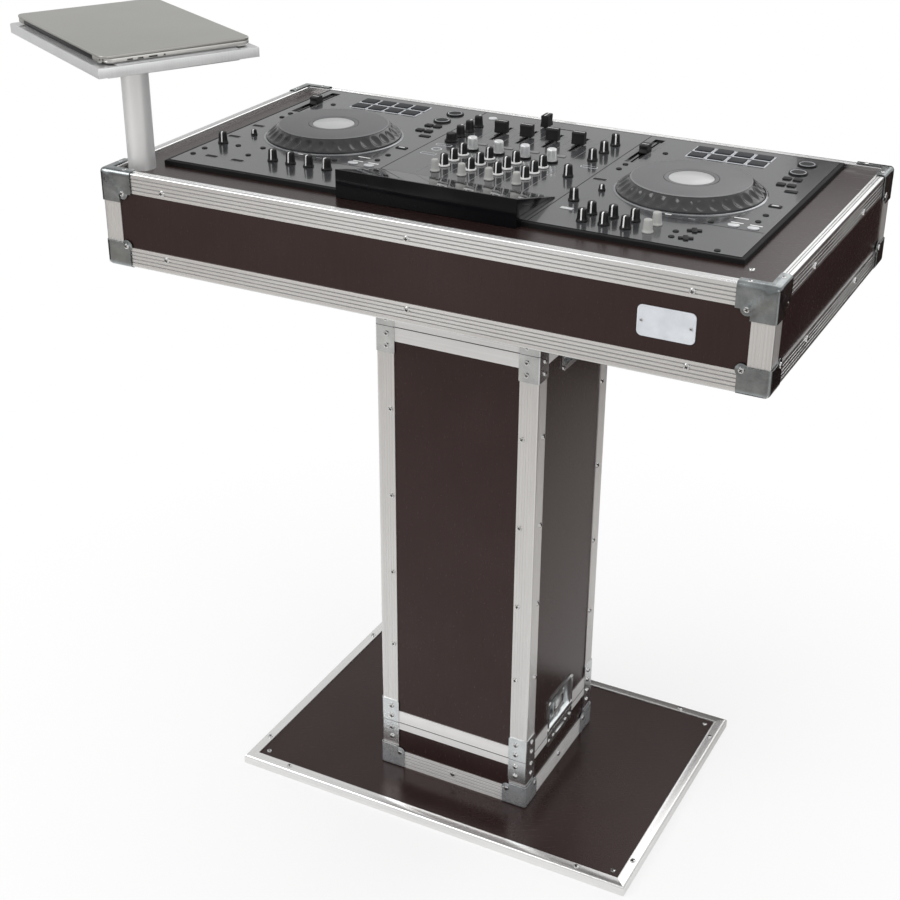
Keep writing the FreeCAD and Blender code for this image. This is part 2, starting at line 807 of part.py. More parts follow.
def corner_cap(name, half_x, half_y, level, reach, height, side, lip):
    """A pressed steel cap over a corner, with a round screw ear on each face.

    side is 1 where the cap covers an upper corner and -1 where it covers a lower one. lip is how far
    the cap reaches inwards over the top or bottom.
    """
    steel = S.steel
    over = S.cut_overrun
    low, high = (level - height, level + steel) if side > 0 else (level - steel, level + height)
    corner_low = (half_x - reach, -half_y - steel, low)
    block = box(f"{name}_block", corner_low, (half_x + steel, reach - half_y, high))
    bent = rounded(f"{name}_bent", block, S.cap_round, cap_edges(half_x, half_y, level, side))
    hollow_low, hollow_high = (low - over, level) if side > 0 else (level, high + over)
    hollow = box(
        f"{name}_hollow",
        (half_x - reach - over, -half_y, hollow_low),
        (half_x, reach - half_y + over, hollow_high),
    )
    open_low, open_high = (level - over, high + over) if side > 0 else (low - over, level + over)
    open_top = box(
        f"{name}_open_top",
        (half_x - reach - over, lip - half_y, open_low),
        (half_x - lip, reach - half_y + over, open_high),
    )
    band = S.cap_band
    notch_low, notch_high = (low - over, level - band) if side > 0 else (level + band, high + over)
    ear_level = level - side * band
    front = box(
        f"{name}_front_notch",
        (half_x - reach - over, -half_y - 2 * steel, notch_low),
        (half_x - band, steel - half_y, notch_high),
    )
    flank = box(
        f"{name}_side_notch",
        (half_x - steel, band - half_y, notch_low),
        (half_x + 2 * steel, reach - half_y + over, notch_high),
    )
    ear = S.cap_ear_radius
    front_ear = cylinder(f"{name}_front_ear", ear, steel, half_x - band - ear / 2, -half_y, ear_level, UPRIGHT)
    side_ear = cylinder(
        f"{name}_side_ear", ear, steel, half_x, band + ear / 2 - half_y, ear_level, Rotation(Vector(0, 1, 0), 90)
    )
    shell = cut(f"{name}_shell", bent, hollow, open_top, front, flank)
    return fuse(name, shell, front_ear, side_ear)


def cap_edges(half_x, half_y, level, side):
    """A test for the three outside edges that meet at a cap's corner."""
    steel = amount_of(S.steel)
    corner = Vector(amount_of(half_x) + steel, -amount_of(half_y) - steel, amount_of(level) + side * steel)

    def chosen(edge):
        return any((vertex.Point - corner).Length < 1e-6 for vertex in edge.Vertexes)

    return chosen


def build_caps():
    """Steel caps on the tray's eight corners and on the foot of the plinth."""
    half_x = S.tray_length / 2
    half_y = S.tray_depth / 2
    half = S.column_width / 2
    top = S.tray_bottom + S.tray_height
    lip = S.tray_rim_width
    plinth_low = S.foot_height - S.foot_edging_wall
    upper = corner_cap("upper_cap", half_x, half_y, top, S.upper_cap_reach, S.upper_cap_height, 1, lip)
    lower = corner_cap(
        "lower_cap", half_x, half_y, S.tray_bottom, S.lower_cap_reach, S.lower_cap_height, -1, S.profile_flange
    )
    plinth = plinth_cap(half, plinth_low)
    node("corner_caps", all_round("corner_caps", upper, lower, plinth))


def plinth_cap(half, low):
    """A cap at the foot of the plinth: two flanges bent round the corner, standing on the foot plate."""
    steel = S.steel
    leg = S.plinth_cap_reach
    section = [(steel, -steel), (steel, leg), (0, leg), (0, 0), (-leg, 0), (-leg, -steel)]
    bar = profile("plinth_cap_plate", section, S.plinth_cap_height, half, -half, low)
    return rounded("plinth_cap", bar, 2 * steel / 3, outer_corner(half, steel))


# Laptop stand


def pole_place():
    """The pole's axis, set in from the tray's left front corner."""
    return S.pole_inset_x - S.tray_length / 2, S.pole_inset_y - S.tray_depth / 2


def on_stand(item):
    """Turns and carries a piece, drawn about the pole, to its place on the tray."""
    x, y = pole_place()
    place(item, x, y, 0, Rotation(Vector(0, 0, 1), S.stand_turn.value))
    item.setExpression("Placement.Rotation.Angle", expression(S.stand_turn))
    return item


def build_stand():
    """Pole socket, pole and laptop tray."""
    x, y = pole_place()
    deck_low = S.tray_bottom + S.tray_height - S.deck_drop - S.board
    floor_top = S.tray_bottom + S.profile_wall + S.board
    bore = S.pole_radius + S.pole_clearance
    tube = bore + S.socket_wall
    flange = S.socket_flange_radius
    foot = S.socket_flange_height
    socket = [
        (0, floor_top),
        (flange, floor_top),
        (flange, floor_top + foot),
        (tube, floor_top + foot),
        (tube, deck_low),
        (bore, deck_low),
        (bore, floor_top + foot),
        (0, floor_top + foot),
    ]
    node("pole_socket", turned("pole_socket", socket, x, y))

    under = S.stand_top - S.stand_edge_height
    foot_level = floor_top + foot + S.pole_foot_gap
    plate = under - S.stand_flange_height
    radius = S.pole_radius
    inside = radius - S.pole_wall
    head = S.stand_flange_radius
    pole = [
        (inside, foot_level),
        (radius, foot_level),
        (radius, plate),
        (head, plate),
        (head, under),
        (inside, under),
    ]
    node("laptop_pole", turned("laptop_pole", pole, x, y))

    half_u = S.stand_depth / 2
    half_v = S.stand_width / 2
    edge = S.stand_edge_wall
    board_low = (edge - half_u, edge - half_v, under)
    board = box("laptop_board", board_low, (half_u - edge, half_v - edge, S.stand_top - edge))
    node("laptop_tray_board", on_stand(group("laptop_tray_board", board)))
    lip = S.stand_edge_lip
    height = S.stand_edge_height
    section = [(0, 0), (edge, 0), (edge, height - edge), (lip, height - edge), (lip, height), (0, height)]
    frame = mitred_frame("stand_edging", half_u, half_v, under, section, 2 * height)
    node("laptop_tray_edging", on_stand(group("laptop_tray_edging", frame)))


def slab(name, low_u, high_u, half_v, low, high, corner):
    """A flat slab with rounded upright corners."""
    block = box(f"{name}_block", (low_u, -half_v, low), (high_u, half_v, high))

    def upright(edge):
        ends = [vertex.Point for vertex in edge.Vertexes]
        return abs(ends[0].x - ends[1].x) < 1e-6 and abs(ends[0].y - ends[1].y) < 1e-6

    return rounded(name, block, corner, upright)


def build_laptop():
    """A closed laptop: base with feet, and lid with its hinge barrel along the rear edge."""
    half_u = S.laptop_depth / 2
    half_v = S.laptop_width / 2
    radius = S.laptop_barrel_radius
    board_top = S.stand_top - S.stand_edge_wall
    base_low = board_top + S.laptop_foot_height
    base_top = base_low + S.laptop_base_height
    axis_u = radius - half_u
    base_rear = axis_u + radius + S.laptop_gap
    base = slab("laptop_body", base_rear, half_u, half_v, base_low, base_top, S.laptop_corner)
    feet = []
    for index, (su, sv) in enumerate(((1, 1), (1, -1), (-1, 1), (-1, -1))):
        u = su * (half_u - S.laptop_foot_inset)
        v = sv * (half_v - S.laptop_foot_inset)
        feet.append(cylinder(f"laptop_foot_{index}", S.laptop_foot_radius, S.laptop_foot_height, u, v, board_top))
    node("laptop_base", on_stand(fuse("laptop_base", base, *feet)))

    lid_low = base_top + S.laptop_gap
    lid_top = lid_low + S.laptop_lid_height
    plate = slab("laptop_lid_plate", -half_u, half_u, half_v, lid_low, lid_top, S.laptop_corner)
    reach = S.laptop_barrel_length / 2
    axis_z = base_top - radius
    barrel = cylinder("laptop_barrel", radius, S.laptop_barrel_length, axis_u, reach, axis_z, UPRIGHT)
    web = box("laptop_barrel_web", (axis_u - radius, -reach, axis_z), (axis_u, reach, lid_low))
    node("laptop_lid", on_stand(fuse("laptop_lid", plate, barrel, web)))


# Console


def face_level():
    """Height of the console's face."""
    return S.tray_bottom + S.tray_height - S.deck_drop + S.console_proud


def deck_centres():
    """Middle of the left and right deck along X."""
    offset = (S.console_length + S.mixer_width) / 4
    return (("left", S.console_shift_x - offset), ("right", S.console_shift_x + offset))


def pitch_x(middle):
    """A pitch fader's place along X on a deck."""
    return middle - (S.console_length - S.mixer_width) / 4 + S.pitch_inset


def channel_places():
    """Number and place along X of each channel strip."""
    middle = S.console_shift_x + S.channel_shift
    return [(number, middle + (number - 2.5) * S.channel_pitch) for number in (1, 2, 3, 4)]


def rotary_places():
    """Kind, number and place of each knob on the channel strips."""
    places = []
    for number, x in channel_places():
        places.append(("trim", f"trim_knob_{number}", x, S.trim_y))
        for band, name in enumerate(("high", "mid", "low")):
            places.append(("eq", f"{name}_knob_{number}", x, S.eq_y + band * S.eq_pitch))
        places.append(("colour", f"colour_knob_{number}", x, S.colour_y))
    return places


def build_console():
    """Lower case and face plate of the console."""
    half_x = S.console_length / 2
    half_y = S.console_depth / 2
    x, y = S.console_shift_x, S.console_shift_y
    face = face_level()
    under = face - S.console_face_height
    low = under - S.console_case_height
    inset = S.console_case_inset
    reach_x = half_x - inset
    reach_y = half_y - inset
    shell = box("case_block", (x - reach_x, y - reach_y, low), (x + reach_x, y + reach_y, under))
    wall = S.console_wall
    hollow_low = (x - reach_x + wall, y - reach_y + wall, low + wall)
    hollow = box("case_hollow", hollow_low, (x + reach_x - wall, y + reach_y - wall, under + wall))
    node("console_case", cut("console_case", shell, hollow))

    plate = box("face_plate", (x - half_x, y - half_y, under), (x + half_x, y + half_y, face))
    spindles = []
    for kind, name, place_x, place_y in rotary_places():
        spindles.append(cylinder(f"{name}_spindle", S.spindle_radius, S.spindle_height, place_x, place_y, face))
    slots = []
    low = under - S.cut_overrun
    high = face + S.cut_overrun
    for number, place_x in channel_places():
        slots.append(slot(f"fader_slot_{number}", place_x, S.fader_y, S.fader_travel, low, high))
    middle = crossfader_middle()
    reach = (S.crossfader_travel + S.blade_length) / 2 + S.slot_margin
    half = S.slot_width / 2
    cross_low = (middle - reach, S.crossfader_y - half, low)
    slots.append(box("crossfader_slot", cross_low, (middle + reach, S.crossfader_y + half, high)))
    for side, deck_x in deck_centres():
        spindle = cylinder(f"jog_spindle_{side}", S.jog_spindle_radius, S.jog_spindle_height, deck_x, S.jog_y, face)
        spindles.append(spindle)
        centre = pitch_x(deck_x)
        slots.append(slot(f"pitch_slot_{side}", centre, S.pitch_y, S.pitch_travel, low, high))
        well_x = S.pitch_well_width / 2
        well_y = (S.pitch_travel + S.pitch_cap_length) / 2 + S.slot_margin
        well_low = (centre - well_x, S.pitch_y - well_y, face - S.pitch_well_depth)
        slots.append(box(f"pitch_well_{side}", well_low, (centre + well_x, S.pitch_y + well_y, high)))
        button = S.transport_radius + S.button_clearance
        play_x = deck_x + S.transport_shift
        slots.append(cylinder(f"play_hole_{side}", button, 3 * S.console_face_height, play_x, S.play_y, low))
    node("console_face", cut("console_face", fuse("face_with_spindles", plate, *spindles), *slots))


def crossfader_middle():
    """Middle of the crossfader's travel along X."""
    return S.console_shift_x + S.channel_shift


def slot(name, x, y, travel, low, high):
    """A fader's slot along Y, as long as its travel and its blade."""
    reach = (travel + S.blade_length) / 2 + S.slot_margin
    half = S.slot_width / 2
    return box(name, (x - half, y - reach, low), (x + half, y + reach, high))


def build_screen():
    """The wedge behind the mixer and the glass that lies in its slope."""
    face = face_level()
    rear = S.console_shift_y - S.console_depth / 2
    back = rear - S.screen_overhang
    front = back + S.screen_length
    low = face - S.console_proud + S.screen_overhang_gap
    half = S.screen_width / 2
    top = face + S.screen_rear_rise
    lip = face + S.screen_front_rise
    wedge = [(back, low), (rear, low), (rear, face), (front, face), (front, lip), (back, top)]
    body = profile("screen_wedge", wedge, S.screen_width, S.console_shift_x + S.channel_shift - half, 0, 0, ALONG_X)
    slope = (top - lip) / S.screen_length
    margin = S.glass_margin
    near = front - margin
    far = back + margin
    near_z = lip + margin * slope
    far_z = top - margin * slope
    thick = S.glass_thickness
    pane = [(near, near_z - thick), (near, near_z), (far, far_z), (far, far_z - thick)]
    recess = [(near, near_z - thick), (near, near_z + thick), (far, far_z + thick), (far, far_z - thick)]
    width = S.screen_width - 2 * margin
    left = S.console_shift_x + S.channel_shift - half + margin
    node("screen_housing", cut("screen_housing", body, profile("screen_recess", recess, width, left, 0, 0, ALONG_X)))
    node("screen_glass", profile("screen_glass", pane, width, left, 0, 0, ALONG_X))


def build_jogs():
    """Jog wheels: a conical dimpled rim under a flat plate, hollow below over a spindle."""
    face = face_level()
    low = S.jog_clearance
    top = S.jog_height
    bore = S.jog_spindle_radius + S.jog_clearance
    roof = S.jog_spindle_height + S.jog_clearance
    wall = S.jog_radius - S.jog_top_radius
    section = [
        (bore, low),
        (bore + wall / 2, low),
        (bore + wall / 2, roof),
        (S.jog_top_radius - wall / 2, roof),
        (S.jog_radius - wall / 2, low),
        (S.jog_radius, low),
        (S.jog_radius, low + S.jog_skirt),
        (S.jog_top_radius, top),
        (S.jog_hub_radius, top),
        (S.jog_hub_radius, top - S.jog_hub_drop),
        (0, top - S.jog_hub_drop),
        (0, roof),
        (bore, roof),
    ]
    rise = top - low - S.jog_skirt
    for side, x in deck_centres():
        wheel = turned(f"jog_{side}", section)
        dimple = doc.addObject("Part::Sphere", f"jog_dimple_{side}")
        bind(dimple, Radius=S.jog_dimple_radius)
        middle = (S.jog_radius + S.jog_top_radius) / 2
        place(dimple, middle + S.jog_dimple_radius / 2, 0, low + S.jog_skirt + rise / 2 + S.jog_dimple_radius / 2)
        ring = doc.addObject("Part::Feature", f"jog_dimples_{side}")
        doc.recompute()
        count = round(S.jog_dimple_count.value)
        copies = []
        for index in range(count):
            copy = dimple.Shape.copy()
            copy.rotate(Vector(0, 0, 0), Vector(0, 0, 1), 360 * index / count)
            copies.append(copy)
        ring.Shape = Part.makeCompound(copies)
        node(f"jog_wheel_{side}", place(cut(f"jog_wheel_{side}", wheel, ring), x, S.jog_y, face))


def knob(name, x, y, skirt, radius, tip):
    """A knob over its spindle: skirt, tapered grip and flat top, hollow below."""
    low = S.knob_clearance
    bore = S.spindle_radius + S.knob_clearance
    roof = S.spindle_height + S.knob_clearance
    top = S.knob_height
    edge = S.knob_edge
    section = [
        (bore, low),
        (skirt, low),
        (skirt, low + S.knob_skirt_height / 2),
        (radius, low + S.knob_skirt_height),
        (tip, top - edge),
        (tip - edge, top),
        (0, top),
        (0, roof),
        (bore, roof),
    ]
    return turned(name, section, x, y, face_level())


def build_knobs():
    """The knobs of the four channel strips."""
    taper = S.knob_radius - S.knob_top_radius
    kinds = {
        "trim": (S.trim_knob_radius + taper, S.trim_knob_radius, S.trim_knob_radius - taper),
        "eq": (S.knob_skirt_radius, S.knob_radius, S.knob_top_radius),
        "colour": (S.colour_knob_radius + taper, S.colour_knob_radius, S.colour_knob_radius - taper),
    }
    for kind, name, x, y in rotary_places():
        node(name, knob(name, x, y, *kinds[kind]))


def fader_cap(name, width, length, waist, height, lift, depth):
    """A fader cap with a finger waist, drawn along X, on a blade that passes through the slot."""
    low = lift
    middle = lift + height / 2
    section = [
        (-length / 2, low),
        (length / 2, low),
        (waist / 2, middle),
        (length / 2, lift + height),
        (-length / 2, lift + height),
        (-waist / 2, middle),
    ]
    cap = profile(f"{name}_cap", section, width, -width / 2, 0, 0, ALONG_X)
    half = S.blade_thickness / 2
    reach = S.blade_length / 2
    blade = box(f"{name}_blade", (-half, -reach, -depth), (half, reach, middle))
    return fuse(name, cap, blade)


def build_faders():
    """Channel faders, crossfader and pitch faders."""
    face = face_level()
    cap = (S.cap_width, S.cap_length, S.cap_waist, S.cap_height, S.cap_lift, S.blade_depth)
    for number, x in channel_places():
        name = f"channel_fader_{number}"
        node(name, place(fader_cap(name, *cap), x, S.fader_y, face))
    cross = place(
        fader_cap("crossfader", *cap),
        crossfader_middle() + S.crossfader_offset,
        S.crossfader_y,
        face,
        Rotation(Vector(0, 0, 1), 90),
    )
    node("crossfader", cross)
    pitch = (S.pitch_cap_width, S.pitch_cap_length, S.pitch_cap_waist, S.pitch_cap_height)
    for side, deck_x in deck_centres():
        name = f"pitch_fader_{side}"
        piece = fader_cap(name, *pitch, S.knob_clearance - S.pitch_well_depth, S.blade_depth)
        node(name, place(piece, pitch_x(deck_x), S.pitch_y, face))


def seated_knob(name, x, y, radius, height):
    """A knob that sits on the face: skirt, tapered grip and flat top."""
    taper = S.knob_radius - S.knob_top_radius
    edge = S.knob_edge
    skirt = S.knob_skirt_height
    section = [(0, 0), (radius + taper, 0), (radius + taper, skirt / 2), (radius, skirt)]
    section += [(radius - taper, height - edge), (radius - taper - edge, height), (0, height)]
    return turned(name, section, x, y, face_level())


def remaining_knobs():
    """The knobs along the rear of the decks and beside the channel strips."""
    middle = S.console_shift_x + S.channel_shift
    deck_half = (S.console_length - S.mixer_width) / 4
    tall = S.knob_height
    knobs = []
    for side, deck_x in deck_centres():
        shift = S.rear_knob_shift if side == "right" else S.left_rear_shift
        rows = (0, 1) if side == "right" else (1,)
        for column in range(4):
            for row in rows:
                x = deck_x + shift + (column - 1.5) * S.rear_knob_pitch
                y = S.rear_knob_y + row * S.rear_knob_row
                knobs.append(seated_knob(f"rear_knob_{side}_{column}_{row}", x, y, S.trim_knob_radius, tall))
        tone_x = deck_x - deck_half + S.tone_knob_inset
        knobs.append(seated_knob(f"tone_knob_{side}", tone_x, S.tone_knob_y, S.knob_radius, tall))
        small_x = deck_x - deck_half + S.small_knob_inset
        small = S.small_button_radius
        knobs.append(seated_knob(f"small_knob_{side}", small_x, S.small_knob_y, small, S.small_knob_height))
    for index, step in enumerate((0, 2, 3, 4)):
        y = S.right_column_y + step * S.right_column_pitch
        x = middle + S.side_column_offset
        knobs.append(seated_knob(f"right_column_knob_{index}", x, y, S.knob_radius, tall))
    for index in range(4):
        y = S.left_column_y + index * S.left_column_pitch
        x = middle - S.side_column_offset
        knobs.append(seated_knob(f"left_column_knob_{index}", x, y, S.knob_radius, tall))
    return knobs


def small_buttons(side, deck_x):
    """Round buttons on a deck: call and search buttons, and the right deck's select buttons."""
    radius = S.small_button_radius
    rise = S.small_button_rise
    edge = S.knob_edge / 2
    section = [(0, 0), (radius, 0), (radius, rise - edge), (radius - edge, rise), (0, rise)]
    places = []
    for index in range(2):
        places.append((deck_x + S.call_button_shift + index * S.call_button_pitch, S.call_button_y))
        if side == "right":
            places.append((deck_x + S.select_button_shift, S.rear_knob_y + index * S.rear_knob_row))
        for row in range(2):
            x = deck_x + S.transport_shift + (index - 0.5) * S.search_button_pitch
            places.append((x, S.search_button_y + (row - 0.5) * S.search_button_pitch))
    face = face_level()
    return [turned(f"small_button_{side}_{number}", section, x, y, face) for number, (x, y) in enumerate(places)]


def build_buttons():
    """Play buttons in their holes, and the group of pads, cue buttons and remaining controls on the face."""
    face = face_level()
    controls = remaining_knobs()
    for side, deck_x in deck_centres():
        controls += small_buttons(side, deck_x)
        x = deck_x + S.transport_shift
        edge = S.knob_edge
        rise = S.transport_rise
        radius = S.transport_radius
        section = [(0, -S.transport_stem), (radius, -S.transport_stem), (radius, rise - edge)]
        section += [(radius - edge, rise), (0, rise)]
        node(f"play_button_{side}", turned(f"play_button_{side}", section, x, S.play_y, face))
        cue = [(0, 0), (radius, 0), (radius, rise - edge), (radius - edge, rise), (0, rise)]
        controls.append(turned(f"cue_button_{side}", cue, x, S.cue_y, face))
        for column in range(4):
            for row in range(2):
                pad_x = deck_x + S.pads_shift + (column - 1.5) * S.pad_pitch_x
                pad_y = S.pads_y + (row - 0.5) * S.pad_pitch_y
                low = (pad_x - S.pad_width / 2, pad_y - S.pad_depth / 2, face)
                high = (pad_x + S.pad_width / 2, pad_y + S.pad_depth / 2, face + S.pad_height)
                controls.append(box(f"pad_{side}_{column}_{row}", low, high))
    node("deck_controls", group("deck_controls", *controls))


def check_model():
    """Stops where an object failed or a sub-part is not a valid solid."""
    failed = [item.Name for item in doc.Objects if {"Invalid", "Error"} & set(item.State)]
    if failed:
        raise RuntimeError(f"objects failed: {failed}")
    for item in nodes:
        shape = item.Shape
        if shape.isNull() or not shape.isValid() or not shape.Solids:
            raise RuntimeError(f"{item.Label} has no valid solid")


build_foot()
build_column()
build_latches()
build_tray()
build_caps()
build_stand()
build_laptop()
build_console()
build_screen()
build_jogs()
build_knobs()
build_faders()
build_buttons()
doc.recompute()
check_model()
os.makedirs("parts", exist_ok=True)
for item in nodes:
    item.Shape.exportStep(f"parts/{item.Label}.step")
    print(item.Label, len(item.Shape.Solids), round(item.Shape.Volume))
print(len(nodes), "nodes")
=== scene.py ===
"""Dresses the DJ booth: case hardware, console, laptop and stand, each with its own finish.

Shapes are drawn in millimetres in the part's own frame and scaled to metres when a piece is done.
"""

import functools
import itertools
import logging
import math
from dataclasses import dataclass, field
from enum import Enum
from typing import Callable, Iterable, Sequence

import bmesh
import bpy
from mathutils import Matrix, Vector


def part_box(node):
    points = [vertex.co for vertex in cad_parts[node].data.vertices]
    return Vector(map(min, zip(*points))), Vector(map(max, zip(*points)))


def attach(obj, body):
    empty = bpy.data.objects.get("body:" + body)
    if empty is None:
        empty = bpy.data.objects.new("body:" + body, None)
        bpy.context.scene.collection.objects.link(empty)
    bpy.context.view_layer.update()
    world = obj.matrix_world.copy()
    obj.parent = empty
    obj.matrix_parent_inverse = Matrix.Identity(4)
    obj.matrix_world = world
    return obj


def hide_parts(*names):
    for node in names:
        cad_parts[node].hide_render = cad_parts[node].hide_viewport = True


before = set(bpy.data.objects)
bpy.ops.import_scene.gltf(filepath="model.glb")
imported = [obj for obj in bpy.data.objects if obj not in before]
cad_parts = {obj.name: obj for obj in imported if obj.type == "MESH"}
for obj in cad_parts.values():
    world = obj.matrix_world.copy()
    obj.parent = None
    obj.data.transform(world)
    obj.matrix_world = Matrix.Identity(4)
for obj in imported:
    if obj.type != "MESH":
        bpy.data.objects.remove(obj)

LOG = logging.getLogger("dj_booth")
MM = 0.001
NEAR = 1e-6
SHARP_ANGLE = math.radians(34)
BOTH = (-1.0, 1.0)
QUADRANTS = tuple(itertools.product(BOTH, BOTH))
UP = (0.0, 0.0, 1.0)
FRONT = (0.0, -1.0, 0.0)
Point2 = tuple[float, float]
Point3 = tuple[float, float, float]
Colour = tuple[float, float, float]


# Shader maths


class Signal:
    """A shader socket that can stand in Python arithmetic."""

    def __init__(self, recipe: "Recipe", socket: bpy.types.NodeSocket) -> None:
        """Keeps the socket and the recipe that it belongs to."""
        self.recipe = recipe
        self.socket = socket

    def math(self, operation: str, *others: "Signal | float") -> "Signal":
        """Adds a Math node on this signal and further operands."""
        return self.recipe.math(operation, self, *others)

    def __add__(self, other: "Signal | float") -> "Signal":
        """Sum."""
        return self.math("ADD", other)

    def __sub__(self, other: "Signal | float") -> "Signal":
        """Difference."""
        return self.math("SUBTRACT", other)

    def __rsub__(self, other: float) -> "Signal":
        """Difference from a number."""
        return self.recipe.math("SUBTRACT", other, self)

    def __mul__(self, other: "Signal | float") -> "Signal":
        """Product."""
        return self.math("MULTIPLY", other)

    def __abs__(self) -> "Signal":
        """Size without its sign."""
        return self.math("ABSOLUTE")

    __radd__ = __add__
    __rmul__ = __mul__

    def above(self, limit: float) -> "Signal":
        """1 where the signal is over the limit, else 0."""
        return self.math("GREATER_THAN", limit)

    def fitted(self, low: float, high: float, to_low: float = 0.0, to_high: float = 1.0) -> "Signal":
        """Maps the span from low to high onto another, clamped."""
        inputs = {"Value": self, "From Min": low, "From Max": high, "To Min": to_low, "To Max": to_high}
        return self.recipe.signal(self.recipe.node("ShaderNodeMapRange", inputs))


class Recipe:
    """The node tree of a finish or of the world."""

    def __init__(self, owner: bpy.types.Material | bpy.types.World) -> None:
        """Turns the owner's nodes on.

        Args:
            owner: material or world.
        """
        owner.use_nodes = True
        self.owner = owner
        self.tree = owner.node_tree

    def node(self, kind: str, inputs: dict | None = None, **settings: object) -> bpy.types.Node:
        """Adds a node.

        Args:
            kind: Blender's type of the node.
            inputs: values or signals by socket name or number.
            settings: properties that are set before the sockets.

        Returns:
            The new node.
        """
        made = self.tree.nodes.new(kind)
        for key, value in settings.items():
            setattr(made, key, value)
        for key, value in (inputs or {}).items():
            self.feed(made.inputs[key], value)
        return made

    def feed(self, socket: bpy.types.NodeSocket, value: object) -> None:
        """Links a signal to a socket, or sets the socket's own value.

        Args:
            socket: input of a node.
            value: signal or plain value.
        """
        if isinstance(value, Signal):
            self.tree.links.new(value.socket, socket)
        else:
            socket.default_value = value

    def signal(self, node: bpy.types.Node, output: int | str = 0) -> Signal:
        """One output of a node as a signal."""
        return Signal(self, node.outputs[output])

    def math(self, operation: str, *operands: "Signal | float") -> Signal:
        """Adds a Math node on signals and numbers."""
        return self.signal(self.node("ShaderNodeMath", dict(enumerate(operands)), operation=operation))

    def place(self) -> Signal:
        """The point on the piece, in metres."""
        return self.signal(self.node("ShaderNodeTexCoord"), "Object")

    def split(self, vector: Signal) -> tuple[Signal, Signal, Signal]:
        """The three parts of a vector."""
        parts = self.node("ShaderNodeSeparateXYZ", {0: vector})
        return self.signal(parts, 0), self.signal(parts, 1), self.signal(parts, 2)

    def joined(self, x: "Signal | float", y: "Signal | float", z: "Signal | float") -> Signal:
        """A vector from three parts."""
        return self.signal(self.node("ShaderNodeCombineXYZ", {0: x, 1: y, 2: z}))

    def noise(self, where: Signal, scale: float, detail: float = 2.0, rough: float = 0.5) -> Signal:
        """Soft noise, about 0 to 1, with so many waves to the metre."""
        inputs = {"Vector": where, "Scale": scale, "Detail": detail, "Roughness": rough}
        return self.signal(self.node("ShaderNodeTexNoise", inputs))

    def blend(self, share: Signal, low: "Colour | Signal", high: "Colour | Signal") -> Signal:
        """Mixes two colours by a share.

        Args:
            share: how much of the second colour.
            low: first colour.
            high: second colour.

        Returns:
            The mixed colour.
        """
        sides = [side if isinstance(side, Signal) else (*side, 1.0) for side in (low, high)]
        mixed = self.node("ShaderNodeMix", {0: share, 6: sides[0], 7: sides[1]}, data_type="RGBA")
        return self.signal(mixed, 2)

    def tint(self, share: Signal, low: Colour, high: Colour, reach: float = 0.2) -> None:
        """Colours the shader by a noise that spreads so far from one half."""
        self.set(Base_Color=self.blend(share.fitted(0.5 - reach, 0.5 + reach), low, high))

    def bump(self, height: Signal, depth: float, strength: float) -> None:
        """Raises the surface by a height of 0 to 1, where 1 stands for a depth in metres."""
        node = self.node("ShaderNodeBump", {"Height": height, "Distance": depth, "Strength": strength})
        self.set(Normal=self.signal(node))

    def set(self, **values: object) -> None:
        """Sets the Principled shader's sockets; an underscore stands for a space."""
        for key, value in values.items():
            self.feed(self.tree.nodes["Principled BSDF"].inputs[key.replace("_", " ")], value)


# Finishes


class Run(Enum):
    """The way that a drawn profile runs."""

    FRAME = "frame"
    UPRIGHT = "upright"


def times(tone: Colour, factor: float, lift: float = 0.0) -> Colour:
    """A colour made lighter or darker."""
    return tuple(factor * part + lift for part in tone)


@dataclass(frozen=True)
class Finish:
    """A named finish; each kind paints its own recipe."""

    name: str

    def paint(self, recipe: Recipe) -> None:
        """Fills the recipe's shader."""
        raise NotImplementedError

    @functools.cache
    def material(self) -> bpy.types.Material:
        """The finish's material, made once.

        Returns:
            The material.
        """
        recipe = Recipe(bpy.data.materials.new(self.name))
        self.paint(recipe)
        return recipe.owner


@dataclass(frozen=True)
class FilmBoard(Finish):
    """Plywood under a dark brown phenolic film: satin, a little uneven, finely scuffed."""

    dark: Colour = (0.0190, 0.0090, 0.0084)
    light: Colour = (0.0265, 0.0148, 0.0140)
    sheen: Colour = (1.0, 0.82, 0.78)

    def paint(self, recipe: Recipe) -> None:
        """Brown film with fibre streaks, orange peel and scuffs.

        Args:
            recipe: recipe to fill.
        """
        where = recipe.place()
        x, y, z = recipe.split(where)
        cloud = recipe.noise(where, 7.0, 3.0)
        fibre = recipe.noise(recipe.joined(x * 60.0, y * 60.0, z * 5.0), 4.0, 3.0)
        recipe.tint(cloud * 0.75 + fibre * 0.25, self.dark, self.light, 0.18)
        scuff = recipe.noise(recipe.joined(x * 9.0 + y * 7.0, y * 160.0 - x * 90.0, z * 40.0), 3.0, 4.0, 0.65)
        dust = recipe.noise(where, 420.0)
        gloss = 0.20 + 0.07 * cloud + 0.10 * scuff.fitted(0.62, 0.78) + 0.04 * dust
        recipe.set(Roughness=gloss, Specular_IOR_Level=0.40, Specular_Tint=(*self.sheen, 1.0))
        recipe.bump(recipe.noise(where, 700.0) * 0.7 + fibre * 0.3, 0.00003, 0.12)


